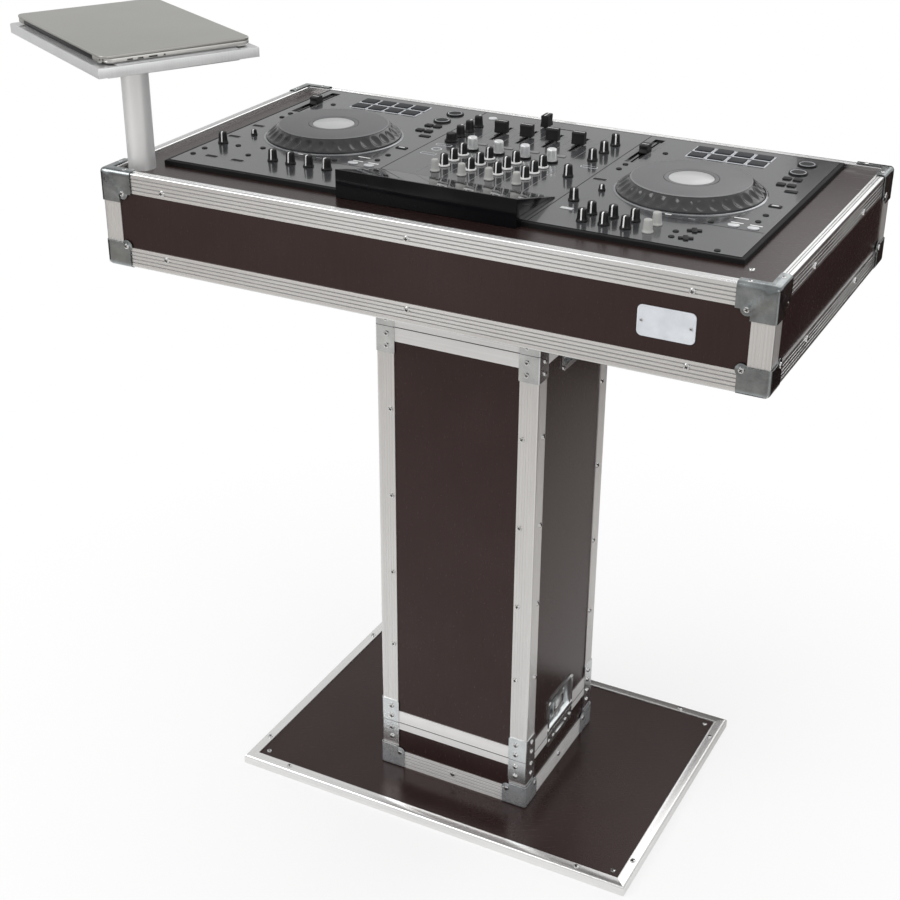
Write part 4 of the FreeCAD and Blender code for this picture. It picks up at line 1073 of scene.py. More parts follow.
@dataclass
class PressedCap:
    """A pressed steel corner cap: flanges on two or three faces, bent round the corner, with screw ears."""

    reach: float
    height: float
    band: float
    lip: float
    bend: float = 5.0
    crease: float = 0.0
    crease_half: float = 11.0
    crease_end: float = 46.0
    sheet: float = 1.2
    ear: float = 9.0
    pitch: float = 4.5
    proud: float = 0.25

    def form(self) -> Form:
        """The cap with its corner at the origin, reaching to -X, +Y and -Z, as a closed solid.

        Returns:
            The closed solid.
        """
        form = Form.block((-self.reach, 0.0, -self.height), (0.0, self.reach, 0.0))
        corner = next(vert for vert in form.bm.verts if vert.co.length < NEAR)
        edges = list(corner.link_edges)
        inner = [face for face in form.bm.faces if corner not in face.verts]
        bmesh.ops.delete(form.bm, geom=inner, context="FACES")
        self.ruled(form.bevelled(edges, self.bend, 5))
        spare = [face for face in form.bm.faces if self.open(face.calc_center_median())]
        bmesh.ops.delete(form.bm, geom=spare, context="FACES")
        if self.crease:
            form.sculpted(self.pressed)
        return form.thickened(-self.sheet, (1.0, -1.0, 0.0))

    def ruled(self, form: Form) -> None:
        """Cuts the flanges into a grid, so that they can be trimmed and pressed.

        Args:
            form: the bent sheet.
        """
        for axis, span, sign in ((0, self.reach, -1.0), (1, self.reach, 1.0), (2, self.height, -1.0)):
            normal = Vector((axis == 0, axis == 1, axis == 2))
            stops = {self.band, self.lip} - {0.0}
            count = int((span - self.bend) / self.pitch)
            stops |= {self.bend + self.pitch * (index + 1) for index in range(count)}
            for stop in sorted(stop for stop in stops if stop < span):
                form.cut(sign * stop * normal, normal)

    def open(self, middle: Vector) -> bool:
        """Whether the pressed sheet leaves this place free.

        Args:
            middle: middle of a face.

        Returns:
            True where the face is trimmed off.
        """
        low = middle.z < -self.band
        on_front = middle.y < 1e-3 and middle.x < -self.band and low
        on_side = middle.x > -1e-3 and middle.y > self.band and low
        on_top = middle.z > -1e-3 and middle.x < -max(self.lip, 0.01) and middle.y > self.lip
        bare_top = not self.lip and middle.z > -1e-3
        return on_front or on_side or on_top or bare_top

    def pressed(self, point: Vector) -> Vector:
        """Raises the diagonal crease on the two upright flanges.

        Args:
            point: point of the sheet.

        Returns:
            The point after pressing.
        """
        moved = point.copy()
        for run, axis, sign in ((-point.x, 1, -1.0), (point.y, 0, 1.0)):
            if abs(point[axis]) > 1e-3:
                continue
            off = abs(run + point.z) / self.crease_half
            fade = min(1.0, max(0.0, (run - 5.0) / 8.0)) * min(1.0, max(0.0, (self.crease_end - run) / 10.0))
            moved[axis] += sign * self.crease * max(0.0, 1.0 - off) * fade
        return moved

    def add_to(self, piece: Piece, finish: Finish, places: Sequence[Matrix]) -> None:
        """Adds caps, each with two round ears that are level with it, and a screw in each ear.

        Args:
            piece: piece that gathers them.
            finish: their finish.
            places: matrix of each corner.
        """
        piece.add(self.form(), finish, *places)
        r, p = self.ear, self.proud
        ear = Form.lathe([(r, -self.sheet), (r, -0.3), (r - 0.2, 0.05), (r - 0.7, p), (0.0, p)], 28)
        away = self.band + r / 2.0
        on_front = facing((-away, 0.0, -self.band), FRONT)
        on_side = facing((0.0, away, -self.band), (1.0, 0.0, 0.0))
        for place, spot in itertools.product(places, (on_front, on_side)):
            piece.add(ear, finish, place @ spot)
            SCREWS.seat(place @ spot, p)


def corners(half_x: float, half_y: float, level: float, side: float = 1.0) -> list[Matrix]:
    """The four places of a cap that is made at the right front corner.

    Args:
        half_x: half the width of the box.
        half_y: half its depth.
        level: height of the corner.
        side: 1 for an upper corner and -1 for a lower one.

    Returns:
        A matrix for each corner.
    """
    return [
        shift(sx * half_x, sy * half_y, level) @ Matrix.Diagonal((sx, -sy, side, 1.0))
        for sx, sy in itertools.product((1.0, -1.0), BOTH)
    ]


@dataclass
class Foot:
    """Foot plate, its edging and screws."""

    half_x: float = 352.0
    half_y: float = 245.0
    back: float = 8.0
    height: float = 16.0
    flange: float = 18.0
    wall: float = 2.0
    corner_inset: float = 31.0
    edge_inset: float = 85.0
    side_inset: float = 65.0
    land: float = 11.0

    def build(self) -> None:
        """Edging with a rounded outer edge, and its screws."""
        dress(BOARD, "foot_plate")
        h, wall = self.height, self.wall
        section = [(0.0, 0.0), (0.0, h - 4.5), (0.5, h - 2.4), (1.8, h - 0.8), (3.8, h), (self.flange, h)]
        section += [(self.flange, h - wall), (wall, h - wall), (wall, 0.0)]
        piece = Piece("foot_edging_profile")
        MitredFrame(self.half_x, self.half_y, 0.0, self.back).add_to(piece, FOOT_PROFILE, section)
        piece.done("booth", "edge_profile", "foot_edging")
        board = (self.corner_inset, self.corner_inset, h - wall)
        spots = (board, (self.edge_inset, self.land, h), (self.land, self.side_inset, h))
        for (sx, sy), (dx, dy, z) in itertools.product(QUADRANTS, spots):
            SCREWS.put(sx * (self.half_x - dx), self.back + sy * (self.half_y - dy), z, UP)


@dataclass
class UprightAngle:
    """A grooved corner angle with a rounded nose."""

    flange: float = 30.0
    wall: float = 1.5
    nose: float = 3.0
    grooves: int = 5

    def section(self) -> list[Point2]:
        """Outline in plan with its corner at the origin, reaching to -X and +Y.

        Returns:
            The closed outline.
        """
        n, wall, reach = self.nose, self.wall, self.flange
        along = [(n + run, depth) for run, depth in Grooves(reach - n, self.grooves, 1.0, 0.3).path()]
        bend = [(-n * (1.0 - math.sin(a)), n * (1.0 - math.cos(a))) for a in (0.4, 0.8, 1.17)]
        front = [(-run, depth) for run, depth in reversed(along)]
        side = [(-depth, run) for run, depth in along]
        return dedupe([*front, *bend, *side, (-wall, reach), (-wall, wall), (-reach, wall)])

    def length(self, low: float, high: float) -> Form:
        """A length of the angle between two heights, at the right front corner of the origin."""
        outline = [(x, y, low) for x, y in self.section()]
        return Form.drawn(outline, lambda p: Vector((p.x, p.y, high)))


@dataclass
class Column:
    """Plinth, column and head with their profiles, braces and screws."""

    half: float = 134.0
    foot: float = 14.0
    plinth_top: float = 105.0
    column_top: float = 826.0
    head_top: float = 905.5
    socket_edging: float = 32.0
    column_rim: float = 23.0
    socket_rim: float = 14.0
    brace_height: float = 43.0
    brace_flange: float = 31.0
    brace_steel: float = 1.2
    brace_bend: float = 1.8
    latch_gap: float = 102.0

    def build(self) -> None:
        """All of the column's metalwork."""
        dress(BOARD, "case_panels")
        self.edging()
        self.rims()
        self.angles()
        self.braces()
        self.screws()

    def edging(self) -> None:
        """Horizontal edging under the plinth and over the head."""
        piece = Piece("socket_edging_profile")
        tall = self.socket_edging
        for level, way in ((self.foot, 1.0), (self.head_top, -1.0)):
            face, lines = Grooves(tall, 4).drawn(lambda run, depth: (depth, way * run))
            inner = [(30.0, 0.0), (30.0, way * 1.5), (1.5, way * 1.5), (1.5, way * tall)]
            edge = MitredFrame(self.half, self.half, level)
            # The grooves carry lines of painted shade.
            edge.add_to(piece, CASE_PROFILE, [*reversed(face), *inner], lines)
        piece.done("booth", "edge_profile", "socket_edging")

    def rims(self) -> None:
        """Tongue and groove rims at the two splits, with a black strip of painted shadow in the gap between
        them.
        """
        piece = Piece("closing_rim_profiles")
        for split, side in ((self.plinth_top, 1.0), (self.column_top, -1.0)):
            edge = MitredFrame(self.half, self.half, split, gap=self.latch_gap)
            for height, way, tongue in ((self.column_rim, side, True), (self.socket_rim, -side, False)):
                edge.add_to(piece, CASE_PROFILE, [(d, way * h) for d, h in self.rim_section(height, tongue)])
            # A black strip of painted shadow in the gap at the split.
            edge.add_to(piece, HINGE_BLACK_AND_PAINTED_SHADE, rectangle(-0.06, -0.7, 0.6, 0.7))
        piece.done("booth", "edge_profile", "closing_rims")

    def rim_section(self, height: float, tongue: bool) -> list[Point2]:
        """Depth and height of a closing profile, from its outer face round its tongue or groove.

        Args:
            height: height of the outer face.
            tongue: whether it has a tongue, else a groove.

        Returns:
            The closed outline.
        """
        spare, depth = (0.0, -3.0) if tongue else (0.3, 3.3)
        near, far = 5.0 - spare, 7.0 + spare
        land = [(0.2, 0.0), (near, 0.0), (near, depth), (far, depth), (far, 0.0), (12.0, 0.0), (12.0, 12.0)]
        inner = [(10.5, 12.0), (10.5, 5.0), (1.5, 5.0), (1.5, height)]
        return [(0.0, height), (0.0, 0.2), *land, *inner]

    def angles(self) -> None:
        """Upright angles of plinth, column, head and tray."""
        piece = Piece("corner_angle_profiles")
        angle, tray = UprightAngle(), Tray()
        spans = (
            (self.foot + self.socket_edging, self.plinth_top - self.socket_rim),
            (self.plinth_top + self.column_rim, self.column_top - self.column_rim),
            (self.column_top + self.socket_rim, self.head_top - self.socket_edging),
        )
        for low, high in spans:
            piece.add(angle.length(low, high), ANGLE_PROFILE, *corners(self.half, self.half, 0.0))
        upright = angle.length(tray.bottom + tray.flange, tray.top - tray.flange)
        piece.add(upright, ANGLE_PROFILE, *corners(tray.half_x, tray.half_y, 0.0))
        piece.done("booth", "edge_profile", "corner_angles")

    def braces(self) -> None:
        """Bent steel braces with rounded ends, above and below each split."""
        piece = Piece("pressed_braces")
        leg = self.brace_flange
        form = Form.plate(rectangle(-leg, 0.4, leg, self.brace_height), self.brace_steel, 2.5)
        for step in range(-3, 4):
            form.cut((self.brace_bend * step / 3.0, 0.0, 0.0), (1.0, 0.0, 0.0))
        form.sculpted(self.bent)
        for split, side in itertools.product((self.plinth_top, self.column_top), (1.0, -1.0)):
            piece.add(form, ZINC, *corners(self.half, self.half, split, side))
        piece.done("booth", "zinc_steel", "corner_braces")

    def bent(self, point: Vector) -> Vector:
        """Bends a flat brace about the column's corner.

        Args:
            point: point of the flat brace.

        Returns:
            The point after bending.
        """
        share = max(-1.0, min(1.0, point.x / self.brace_bend))
        angle = (share + 1.0) * math.pi / 4.0
        rest = point.x - share * self.brace_bend
        radius = 4.0 * self.brace_bend / math.pi
        out = radius + point.z
        x = out * math.sin(angle) - radius + min(rest, 0.0)
        y = radius - out * math.cos(angle) + max(rest, 0.0)
        return Vector((x, y, point.y))

    def screws(self) -> None:
        """Screws of braces, angles and edging."""
        half = self.half
        splits = itertools.product((self.plinth_top, self.column_top), (-31.5, -12.0, 12.0, 31.5))
        rows = [(split + step, half + self.brace_steel, half - 18.5) for split, step in splits]
        rows += [(z, half, half - 23.5) for z in (262.0, 400.0, 540.0, 690.0)]
        for (z, reach, across), (sa, sb) in itertools.product(rows, QUADRANTS):
            SCREWS.put(sa * across, sb * reach, z, (0.0, sb, 0.0))
            SCREWS.put(sb * reach, sa * across, z, (sb, 0.0, 0.0))
        for z, sign in itertools.product((self.foot + 20.0, self.head_top - 20.0), BOTH):
            SCREWS.put(0.0, sign * half, z, (0.0, sign, 0.0))
            SCREWS.put(sign * half, 0.0, z, (sign, 0.0, 0.0))


@dataclass
class Latches:
    """Recessed butterfly latches on the two flanks: dish, hook, keeper and folding wing."""

    half: float = 134.0
    width: float = 102.0
    flange: float = 9.0
    depth: float = 9.8
    pivot: float = 20.0
    pivot_depth: float = 5.5
    wing_reach: float = 26.0
    wing_half: float = 20.0
    keeper: float = 27.0
    screw_scale: float = 0.85

    def build(self) -> None:
        """Dishes and keepers in one piece, and each wing on its own body."""
        piece = Piece("butterfly_latches")
        for level, split, side, height in (("lower", 105.0, 1.0, 68.0), ("upper", 826.0, -1.0, 58.0)):
            for flank, sx in (("right", 1.0), ("left", -1.0)):
                piece.base = self.place(split, side, sx)
                self.dish(piece, height)
                self.hook(piece)
                self.plate(piece)
                self.wing(f"latch_wing_{level}_{flank}", piece.base)
        piece.done("booth", "zinc_steel", "latch_dishes")

    def place(self, split: float, side: float, sx: float) -> Matrix:
        """Takes a latch drawn flat, with Y away from the split and Z outwards, to its place."""
        to_x, to_y = (0.0, 0.0, sx, sx * self.half), (1.0, 0.0, 0.0, 0.0)
        return Matrix((to_x, to_y, (0.0, side, 0.0, split), (0.0, 0.0, 0.0, 1.0)))

    def axle(self) -> Matrix:
        """Takes a turned form to the wing's pivot."""
        return shift(0.0, self.pivot, -self.pivot_depth) @ turn(90.0, "Y")

    def screws(self, piece: Piece, spots: Iterable[Point2]) -> None:
        """Screws on the latch's face."""
        for x, y in spots:
            SCREWS.seat(piece.base @ shift(x, y), scale=self.screw_scale)

    def dish(self, piece: Piece, height: float) -> None:
        """A pressed pan with a rolled flange and rounded far corners.

        Args:
            piece: piece that takes it.
            height: reach of the pan from the split.
        """
        half = self.width / 2.0
        form = Form((x, y, 0.0) for x, y in rectangle(-half, 0.4, half, height))
        far = [vert for vert in form.bm.verts if vert.co.y > 1.0]
        form.bevelled(far, 13.0, 6, "VERTICES")
        sheet = list(form.bm.faces)
        form.inset(sheet, (self.flange - 1.5, 0.0), open_rim=True)
        form.inset(sheet, (1.0, -1.2), (1.6, 1.2 - self.depth), (1.4, -0.8))
        piece.add(form.thickened(1.0, UP), ZINC)
        ends = ((half - 6.0, height - 7.0), (half - 4.8, 8.0))
        self.screws(piece, [(sign * x, y) for x, y in ends for sign in BOTH])

    def hook(self, piece: Piece) -> None:
        """Lugs, pin, cam drum, hook plate and rivets inside the dish.

        Args:
            piece: piece that takes them.
        """
        floor = 0.2 - self.depth
        lug = Form.block((-2.0, self.pivot - 3.2, floor), (2.0, self.pivot + 3.2, -2.6), 1.2, 3)
        piece.add(lug, BRIGHT_ZINC, *(shift(sign * (self.wing_half + 2.35)) for sign in BOTH))
        end = -self.wing_half - 5.4
        pin = mirrored([(0.0, end), (1.5, end), (2.2, end + 0.3), (2.2, end + 1.0), (1.4, end + 1.0)], 1)
        piece.add(Form.lathe(pin, 16), BRIGHT_ZINC, self.axle())
        drum = [(9.0, 0.0), (9.0, 2.0), (8.4, 2.6), (6.0, 2.6), (5.6, 3.4), (5.6, 5.6), (5.0, 6.2)]
        drum += [(2.4, 6.2), (2.0, 5.4), (0.0, 5.4)]
        piece.add(Form.lathe(drum, 24), BRIGHT_ZINC, shift(0.0, 11.0, floor))
        outline = mirrored([(13.0, -15.0), (16.0, -4.0), (16.0, 8.0), (8.0, 16.5)])
        piece.add(Form.plate(outline, 2.0, 3.0).softened(0.5), ZINC, shift(z=floor + 2.9))
        rivet = Form.lathe([(2.6, 0.0), (2.5, 0.7), (1.9, 1.4), (0.9, 1.8), (0.0, 1.9)], 16)
        piece.spread(rivet, BRIGHT_ZINC, ((-30.0, 14.0), (30.0, 14.0), (-33.0, 40.0), (33.0, 40.0)), floor)
        piece.spread(rivet, BRIGHT_ZINC, ((-8.0, -10.0), (8.0, -10.0)), floor + 4.9)

    def plate(self, piece: Piece) -> None:
        """The keeper beyond the split, with the bridge that the hook takes hold of.

        Args:
            piece: piece that takes them.
        """
        half = self.width / 2.0
        form = Form.plate(rectangle(-half, -self.keeper, half, -0.4), 1.4, 7.0).softened(0.4)
        piece.add(form, ZINC, shift(z=-1.4))
        piece.add(Form.block((-17.0, -19.0, -0.2), (17.0, -14.0, 2.0), 1.0, 3), BRIGHT_ZINC)
        line = -self.keeper / 2.0 - 2.0
        self.screws(piece, [(x, line) for x in (8.0 - half, 26.0 - half, half - 26.0, half - 8.0)])

    def wing(self, name: str, place: Matrix) -> None:
        """A stamped wing with a rolled barrel, a raised rim and finger ribs.

        Args:
            name: name of its body and its node.
            place: place of the latch.
        """
        piece = Piece(f"{name}_stamping", place)
        near, far, half = self.pivot + 1.0, self.pivot + self.wing_reach, self.wing_half
        form = Form.plate(rectangle(-half, near, half, far), 2.2, 4.5)
        form.inset(form.tops(), (2.4, 0.0), (1.2, -0.9)).softened(0.35)
        level = 0.5 - self.pivot_depth
        piece.add(form, BRIGHT_ZINC, shift(z=level))
        rib = Form.block((-12.0, -0.9, 0.0), (12.0, 0.9, 1.0), 0.5)
        ribs = [(0.0, near + share * (far - near)) for share in (0.35, 0.55, 0.75)]
        piece.spread(rib, BRIGHT_ZINC, ribs, level + 1.2)
        piece.add(Form.hoop(rectangle(1.75, -half, 3.0, half), 24), BRIGHT_ZINC, self.axle())
        piece.done(name, "zinc_steel", name)


@dataclass
class Tray:
    """Tray with its rims, corner caps, bare badge plate and screws."""

    half_x: float = 507.0
    half_y: float = 279.0
    bottom: float = 904.0
    top: float = 1048.0
    flange: float = 30.0
    rim: float = 14.0
    drop: float = 6.0
    nose: float = 2.0
    wall: float = 1.5
    sheet: float = 1.2
    badge_at: Point2 = (369.0, 976.0)
    badge_half: Point2 = (39.0, 21.0)

    def build(self) -> None:
        """All of the tray but its console."""
        dress(BOARD, "tray_panels", "tray_floor", "tray_deck")
        dress(BATTEN, "tray_battens")
        dress(POLE_TUBE, "pole_socket")
        self.edging()
        self.caps()
        self.badge()
        self.screws()

    def edging(self) -> None:
        """Upper rim and lower edging."""
        piece = Piece("tray_edging_profiles")
        nose, wall = self.nose, self.wall
        # The grooves of both rims carry lines of painted shade.
        lip, lip_shade_lines = Grooves(self.rim - 2.8, 2, 1.4, 0.6).drawn(lambda run, depth: (nose + run, -depth))
        lip += [(self.rim, -0.8), (self.rim, -self.drop), (10.5, -self.drop), (10.5, -wall)]
        sill = [(self.flange, 0.0), (self.flange, wall)]
        for level, way, inner, extra in ((self.top, -1.0, lip, lip_shade_lines), (self.bottom, 1.0, sill, [])):
            grooves = Grooves(self.flange - nose, 4)
            face, lines = grooves.drawn(lambda run, depth: (depth, way * (nose + run)))
            bend = [(0.25, way * 1.0), (1.0, way * 0.25), (nose, 0.0)]
            section = [*reversed(face), *bend, *inner, (wall, way * wall), (wall, way * self.flange)]
            edge = MitredFrame(self.half_x, self.half_y, level)
            edge.add_to(piece, TRAY_PROFILE, section, [*lines, *extra])
        piece.done("booth", "edge_profile", "tray_edging")

    def caps(self) -> None:
        """Pressed caps on the tray's corners and at the foot of the plinth."""
        piece = Piece("pressed_corner_caps")
        column, sheet = Column(), self.sheet
        side = column.half + sheet
        x, y, high = self.half_x + sheet, self.half_y + sheet, self.top + sheet
        upper = PressedCap(53.0, 47.0, 33.0, self.rim, crease=2.0)
        upper.add_to(piece, CAP_ZINC, corners(x, y, high))
        lower = PressedCap(43.0, 38.0, 33.0, self.flange, bend=7.0)
        lower.add_to(piece, CAP_ZINC, corners(x, y, self.bottom - sheet, -1.0))
        plinth = PressedCap(42.0, 41.0, 30.0, 0.0, bend=3.0)
        plinth.add_to(piece, PLINTH_ZINC, corners(side, side, column.foot, -1.0))
        piece.done("booth", "zinc_steel", "corner_caps")
        for (sx, sy), (dx, dy) in itertools.product(QUADRANTS, ((6.0, 38.0), (38.0, 6.0))):
            SCREWS.put(sx * (self.half_x - dx), sy * (self.half_y - dy), high, UP, 0.8)

    def badge(self) -> None:
        """A bare badge plate with a raised rim, on the front."""
        x, z = self.badge_at
        form = Form.tile(*self.badge_half, 1.6, 7.0)
        form.inset(form.tops(), (2.2, 0.0), (0.6, -0.5)).softened(0.3)
        place = facing((x, self.wall - self.half_y, z), FRONT)
        Piece("bare_badge_plate", place).add(form, BADGE_WHITE).done("booth", "edge_profile")
        for sign in BOTH:
            SCREWS.put(x + sign * (self.badge_half[0] - 6.0), 0.4 - self.half_y, z, FRONT, 0.55)

    def screws(self) -> None:
        """Screws along the rims and on the deck."""
        for z in (self.top - 22.0, self.bottom + 21.0):
            for x, sign in itertools.product((-400.0, 0.0, 400.0), BOTH):
                SCREWS.put(x, sign * self.half_y, z, (0.0, sign, 0.0))
            for y, sign in itertools.product((-120.0, 120.0), BOTH):
                SCREWS.put(sign * self.half_x, y, z, (sign, 0.0, 0.0))
        SCREWS.put(453.0, 64.0 - self.half_y, self.top - self.drop, UP)


# Laptop stand


@dataclass
class LaptopStand:
    """Pole, plate and closed laptop, all about the pole's axis."""

    pole: Point2 = (-470.0, -230.0)
    angle: float = 61.3
    radius: float = 20.0
    pole_low: float = 920.8
    pole_flange: float = 34.0
    under: float = 1215.0
    top: float = 1235.0
    half_u: float = 117.5
    half_v: float = 163.5
    flange: float = 20.0
    lip: float = 13.5
    nose: float = 1.6
    corner: float = 26.0
    laptop_u: float = 109.5
    laptop_v: float = 157.0
    base_low: float = 1236.4
    base_top: float = 1243.9
    lid_low: float = 1244.3
    lid_top: float = 1248.3
    foot: float = 3.4
    foot_inset: float = 22.0
    barrel: float = 3.2
    barrel_half: float = 146.0
    barrel_dark: float = 126.0
    key_unit: float = 18.4
    key_gap: float = 3.0
    sunk: float = 0.5

    def piece(self, name: str) -> Piece:
        """A piece whose forms are drawn about the pole."""
        return Piece(name, shift(*self.pole) @ turn(self.angle))

    def build(self) -> None:
        """Stand and laptop."""
        self.stand()
        self.laptop_base()
        self.laptop_lid()

    def stand(self) -> None:
        """The tube with its head flange, and the edged plate over its core."""
        r, low, under, wide = self.radius, self.pole_low, self.under, self.pole_flange
        tube = [(r - 2.0, low), (r, low), (r, under - 4.6), (r + 0.6, under - 4.0), (wide - 0.6, under - 4.0)]
        tube += [(wide, under - 3.4), (wide, under), (r - 2.0, under)]
        pole = self.piece("stand_pole").add(Form.hoop(tube, 96), POLE_TUBE)
        pole.done("laptop_stand", "pole_tube", "laptop_pole")
        piece = self.piece("stand_plate")
        u, v, top, inset, edge = self.half_u, self.half_v, self.top, self.flange, self.top - self.lip
        board = Form.block((2.0 - u, 2.0 - v, edge + 0.6), (u - 2.0, v - 2.0, top - 2.0), 0.4)
        core = Form.block((inset - u, inset - v, under), (u - inset, v - inset, edge + 1.0), 1.5, 3)
        piece.add(board, STAND_PLATE).add(core, STAND_PLATE)
        nose = self.nose
        crown, lines = Grooves(inset - nose, 6, 1.7, 0.8).drawn(lambda run, depth: (nose + run, -depth))
        section = [(0.0, -self.lip), (0.0, -nose), (0.5, -0.5), (nose, 0.0), *crown]
        section += [(inset, -2.0), (2.0, -2.0), (2.0, -self.lip)]
        # The plate's grooves carry lines of painted shade.
        MitredFrame(u, v, top).add_to(piece, STAND_PLATE, section, lines)
        corner = Form.plate(rectangle(0.0, 0.0, self.corner, self.corner), 0.7, 2.0, 3).softened(0.3)
        for su, sv in QUADRANTS:
            at = shift(su * (u - nose), sv * (v - nose), top - 0.4)
            piece.add(corner, STAND_PLATE, at @ Matrix.Diagonal((-su, -sv, 1.0, 1.0)))
        screw = Form.lathe([(3.2, 0.0), (3.2, -0.3), (2.6, -1.2), (1.2, -1.7), (0.0, -1.2)], 16)
        spots = [(26.0 * math.cos(a), 26.0 * math.sin(a)) for a in (0.79, 2.36, 3.93, 5.5)]
        piece.spread(screw, SCREW_ZINC, spots, under - 4.0)
        piece.done("laptop_stand", "edge_profile", "laptop_tray_board", "laptop_tray_edging")

    def slab(self, low_u: float, low: float, high: float, edge: float, steps: int) -> Form:
        """A flat slab of the laptop with rounded corners and softened edges.

        Args:
            low_u: rear edge.
            low: underside.
            high: top.
            edge: width of the softened edge.
            steps: steps round that edge.

        Returns:
            The slab.
        """
        v = self.laptop_v
        form = Form.plate(rectangle(low_u, -v, self.laptop_u, v), high - low, 11.0, 8)
        return form.softened(edge, steps).moved(shift(z=low))

    def laptop_base(self) -> None:
        """Base with a belly that curves under, ports, feet and a finger notch drawn as a black block of
        painted shade.
        """
        piece = self.piece("laptop_lower_half")
        rear = 2.0 * self.barrel + 0.4 - self.laptop_u
        form = self.slab(rear, self.base_low, self.base_top, 0.5, 2)
        for share in (0.12, 0.26, 0.42, 0.6):
            form.cut((0.0, 0.0, self.base_low + share * (self.base_top - self.base_low)), UP)
        # The base is a lighter copy of the lid's aluminium: its sides are painted lighter, as lit.
        piece.add(form.sculpted(self.belly), LAPTOP_LIT_EDGE)
        self.ports(piece)
        self.keyboard(piece)
        lip, top, f = self.laptop_u, self.base_top, self.foot
        # The finger notch is a black block: painted shade in the notch.
        piece.add(Form.block((lip - 3.0, -34.0, top - 1.4), (lip + 0.1, 34.0, top), 0.6), HINGE_BLACK_AND_PAINTED_SHADE)
        foot = Form.lathe([(0.0, -f), (6.4, -f), (7.0, 0.5 - f), (7.0, 0.6), (0.0, 0.6)], 32)
        reach_u, reach_v = self.laptop_u - self.foot_inset, self.laptop_v - self.foot_inset
        piece.spread(foot, HINGE_BLACK_AND_PAINTED_SHADE, [(su * reach_u, sv * reach_v) for su, sv in QUADRANTS], self.base_low)
        piece.done("laptop_stand", "laptop_shell", "laptop_base")

    def belly(self, point: Vector) -> Vector:
        """Draws the base in towards its underside.

        Args:
            point: point of the base.

        Returns:
            The point, drawn in.
        """
        drop = (self.base_top - point.z) / (self.base_top - self.base_low)
        bend = min(1.0, max(0.0, (drop - 0.4) / 0.6))
        pull = 3.6 * (1.0 - math.sqrt(1.0 - 0.98 * bend * bend))
        u = point.x * (1.0 - pull / self.laptop_u)
        return Vector((u, point.y * (1.0 - pull / self.laptop_v), point.z))

    def inlay(self, piece: Piece, finish: Finish, outline: list[Point2], proud: float, radius: float) -> None:
        """A key or a pad that stands a little proud of the base."""
        form = Form.plate(outline, self.sunk + proud, radius, 3 if radius < 2.0 else 4)
        piece.add(form, finish, shift(z=self.base_top - self.sunk))

    def keyboard(self, piece: Piece) -> None:
        """Six rows of low keys and the touch pad, which show when the lid is up.

        Args:
            piece: piece that takes them.
        """
        middle, unit, gap, u = (1.0,) * 10, self.key_unit, self.key_gap, -84.0
        rows = (
            (8.0, (14.5 / 14.0,) * 14),
            (15.4, (*middle, 1.0, 1.0, 1.0, 1.5)),
            (15.4, (1.5, *middle, 1.0, 1.0, 1.0)),
            (15.4, (1.75, *middle, 1.0, 1.75)),
            (15.4, (2.25, *middle, 2.25)),
            (15.4, (1.0, 1.0, 1.0, 1.25, 5.0, 1.25, 1.0, 1.0, 1.0, 1.0)),
        )
        for deep, widths in rows:
            v = -sum(widths) * unit / 2.0
            for width in widths:
                key = rectangle(u, v + gap / 2.0, u + deep, v + width * unit - gap / 2.0)
                self.inlay(piece, HINGE_BLACK_AND_PAINTED_SHADE, key, 0.12, 1.6)
                v += width * unit
            u += deep + gap
        # The black pad under the silver one leaves a thin border of painted shadow in the gap round the touch
        # pad.
        for inset, proud, finish in ((0.0, 0.04, HINGE_BLACK_AND_PAINTED_SHADE), (0.5, 0.1, LAPTOP_SILVER)):
            pad = rectangle(28.0 + inset, inset - 52.0, 100.0 - inset, 52.0 - inset)
            self.inlay(piece, finish, pad, proud, 3.0)

    def ports(self, piece: Piece) -> None:
        """Sockets along the two short sides of the base: a dark mouth in a thin bright frame.

        Args:
            piece: piece that takes them.
        """
        middle = self.base_top - 3.5
        near = ((-69.5, 4.8, 1.8), (-54.5, 4.8, 1.8), (-36.5, 7.0, 2.0), (-20.0, 2.0, 2.0))
        far = ((-62.0, 6.6, 1.5), (-30.0, 8.0, 1.7), (10.0, 12.0, 0.7))
        for side, (u, half, rise) in (*((-1.0, port) for port in near), *((1.0, port) for port in far)):
            for grow, proud, finish in ((0.6, 0.06, LAPTOP_SILVER), (0.0, 0.14, HINGE_BLACK_AND_PAINTED_SHADE)):
                v = sorted((side * (self.laptop_v - 2.5), side * (self.laptop_v + proud)))
                low = (u - half - grow, v[0], middle - rise - grow)
                high = (u + half + grow, v[1], middle + rise + grow)
                piece.add(Form.block(low, high, min(half, rise) * 0.7, 3), finish)

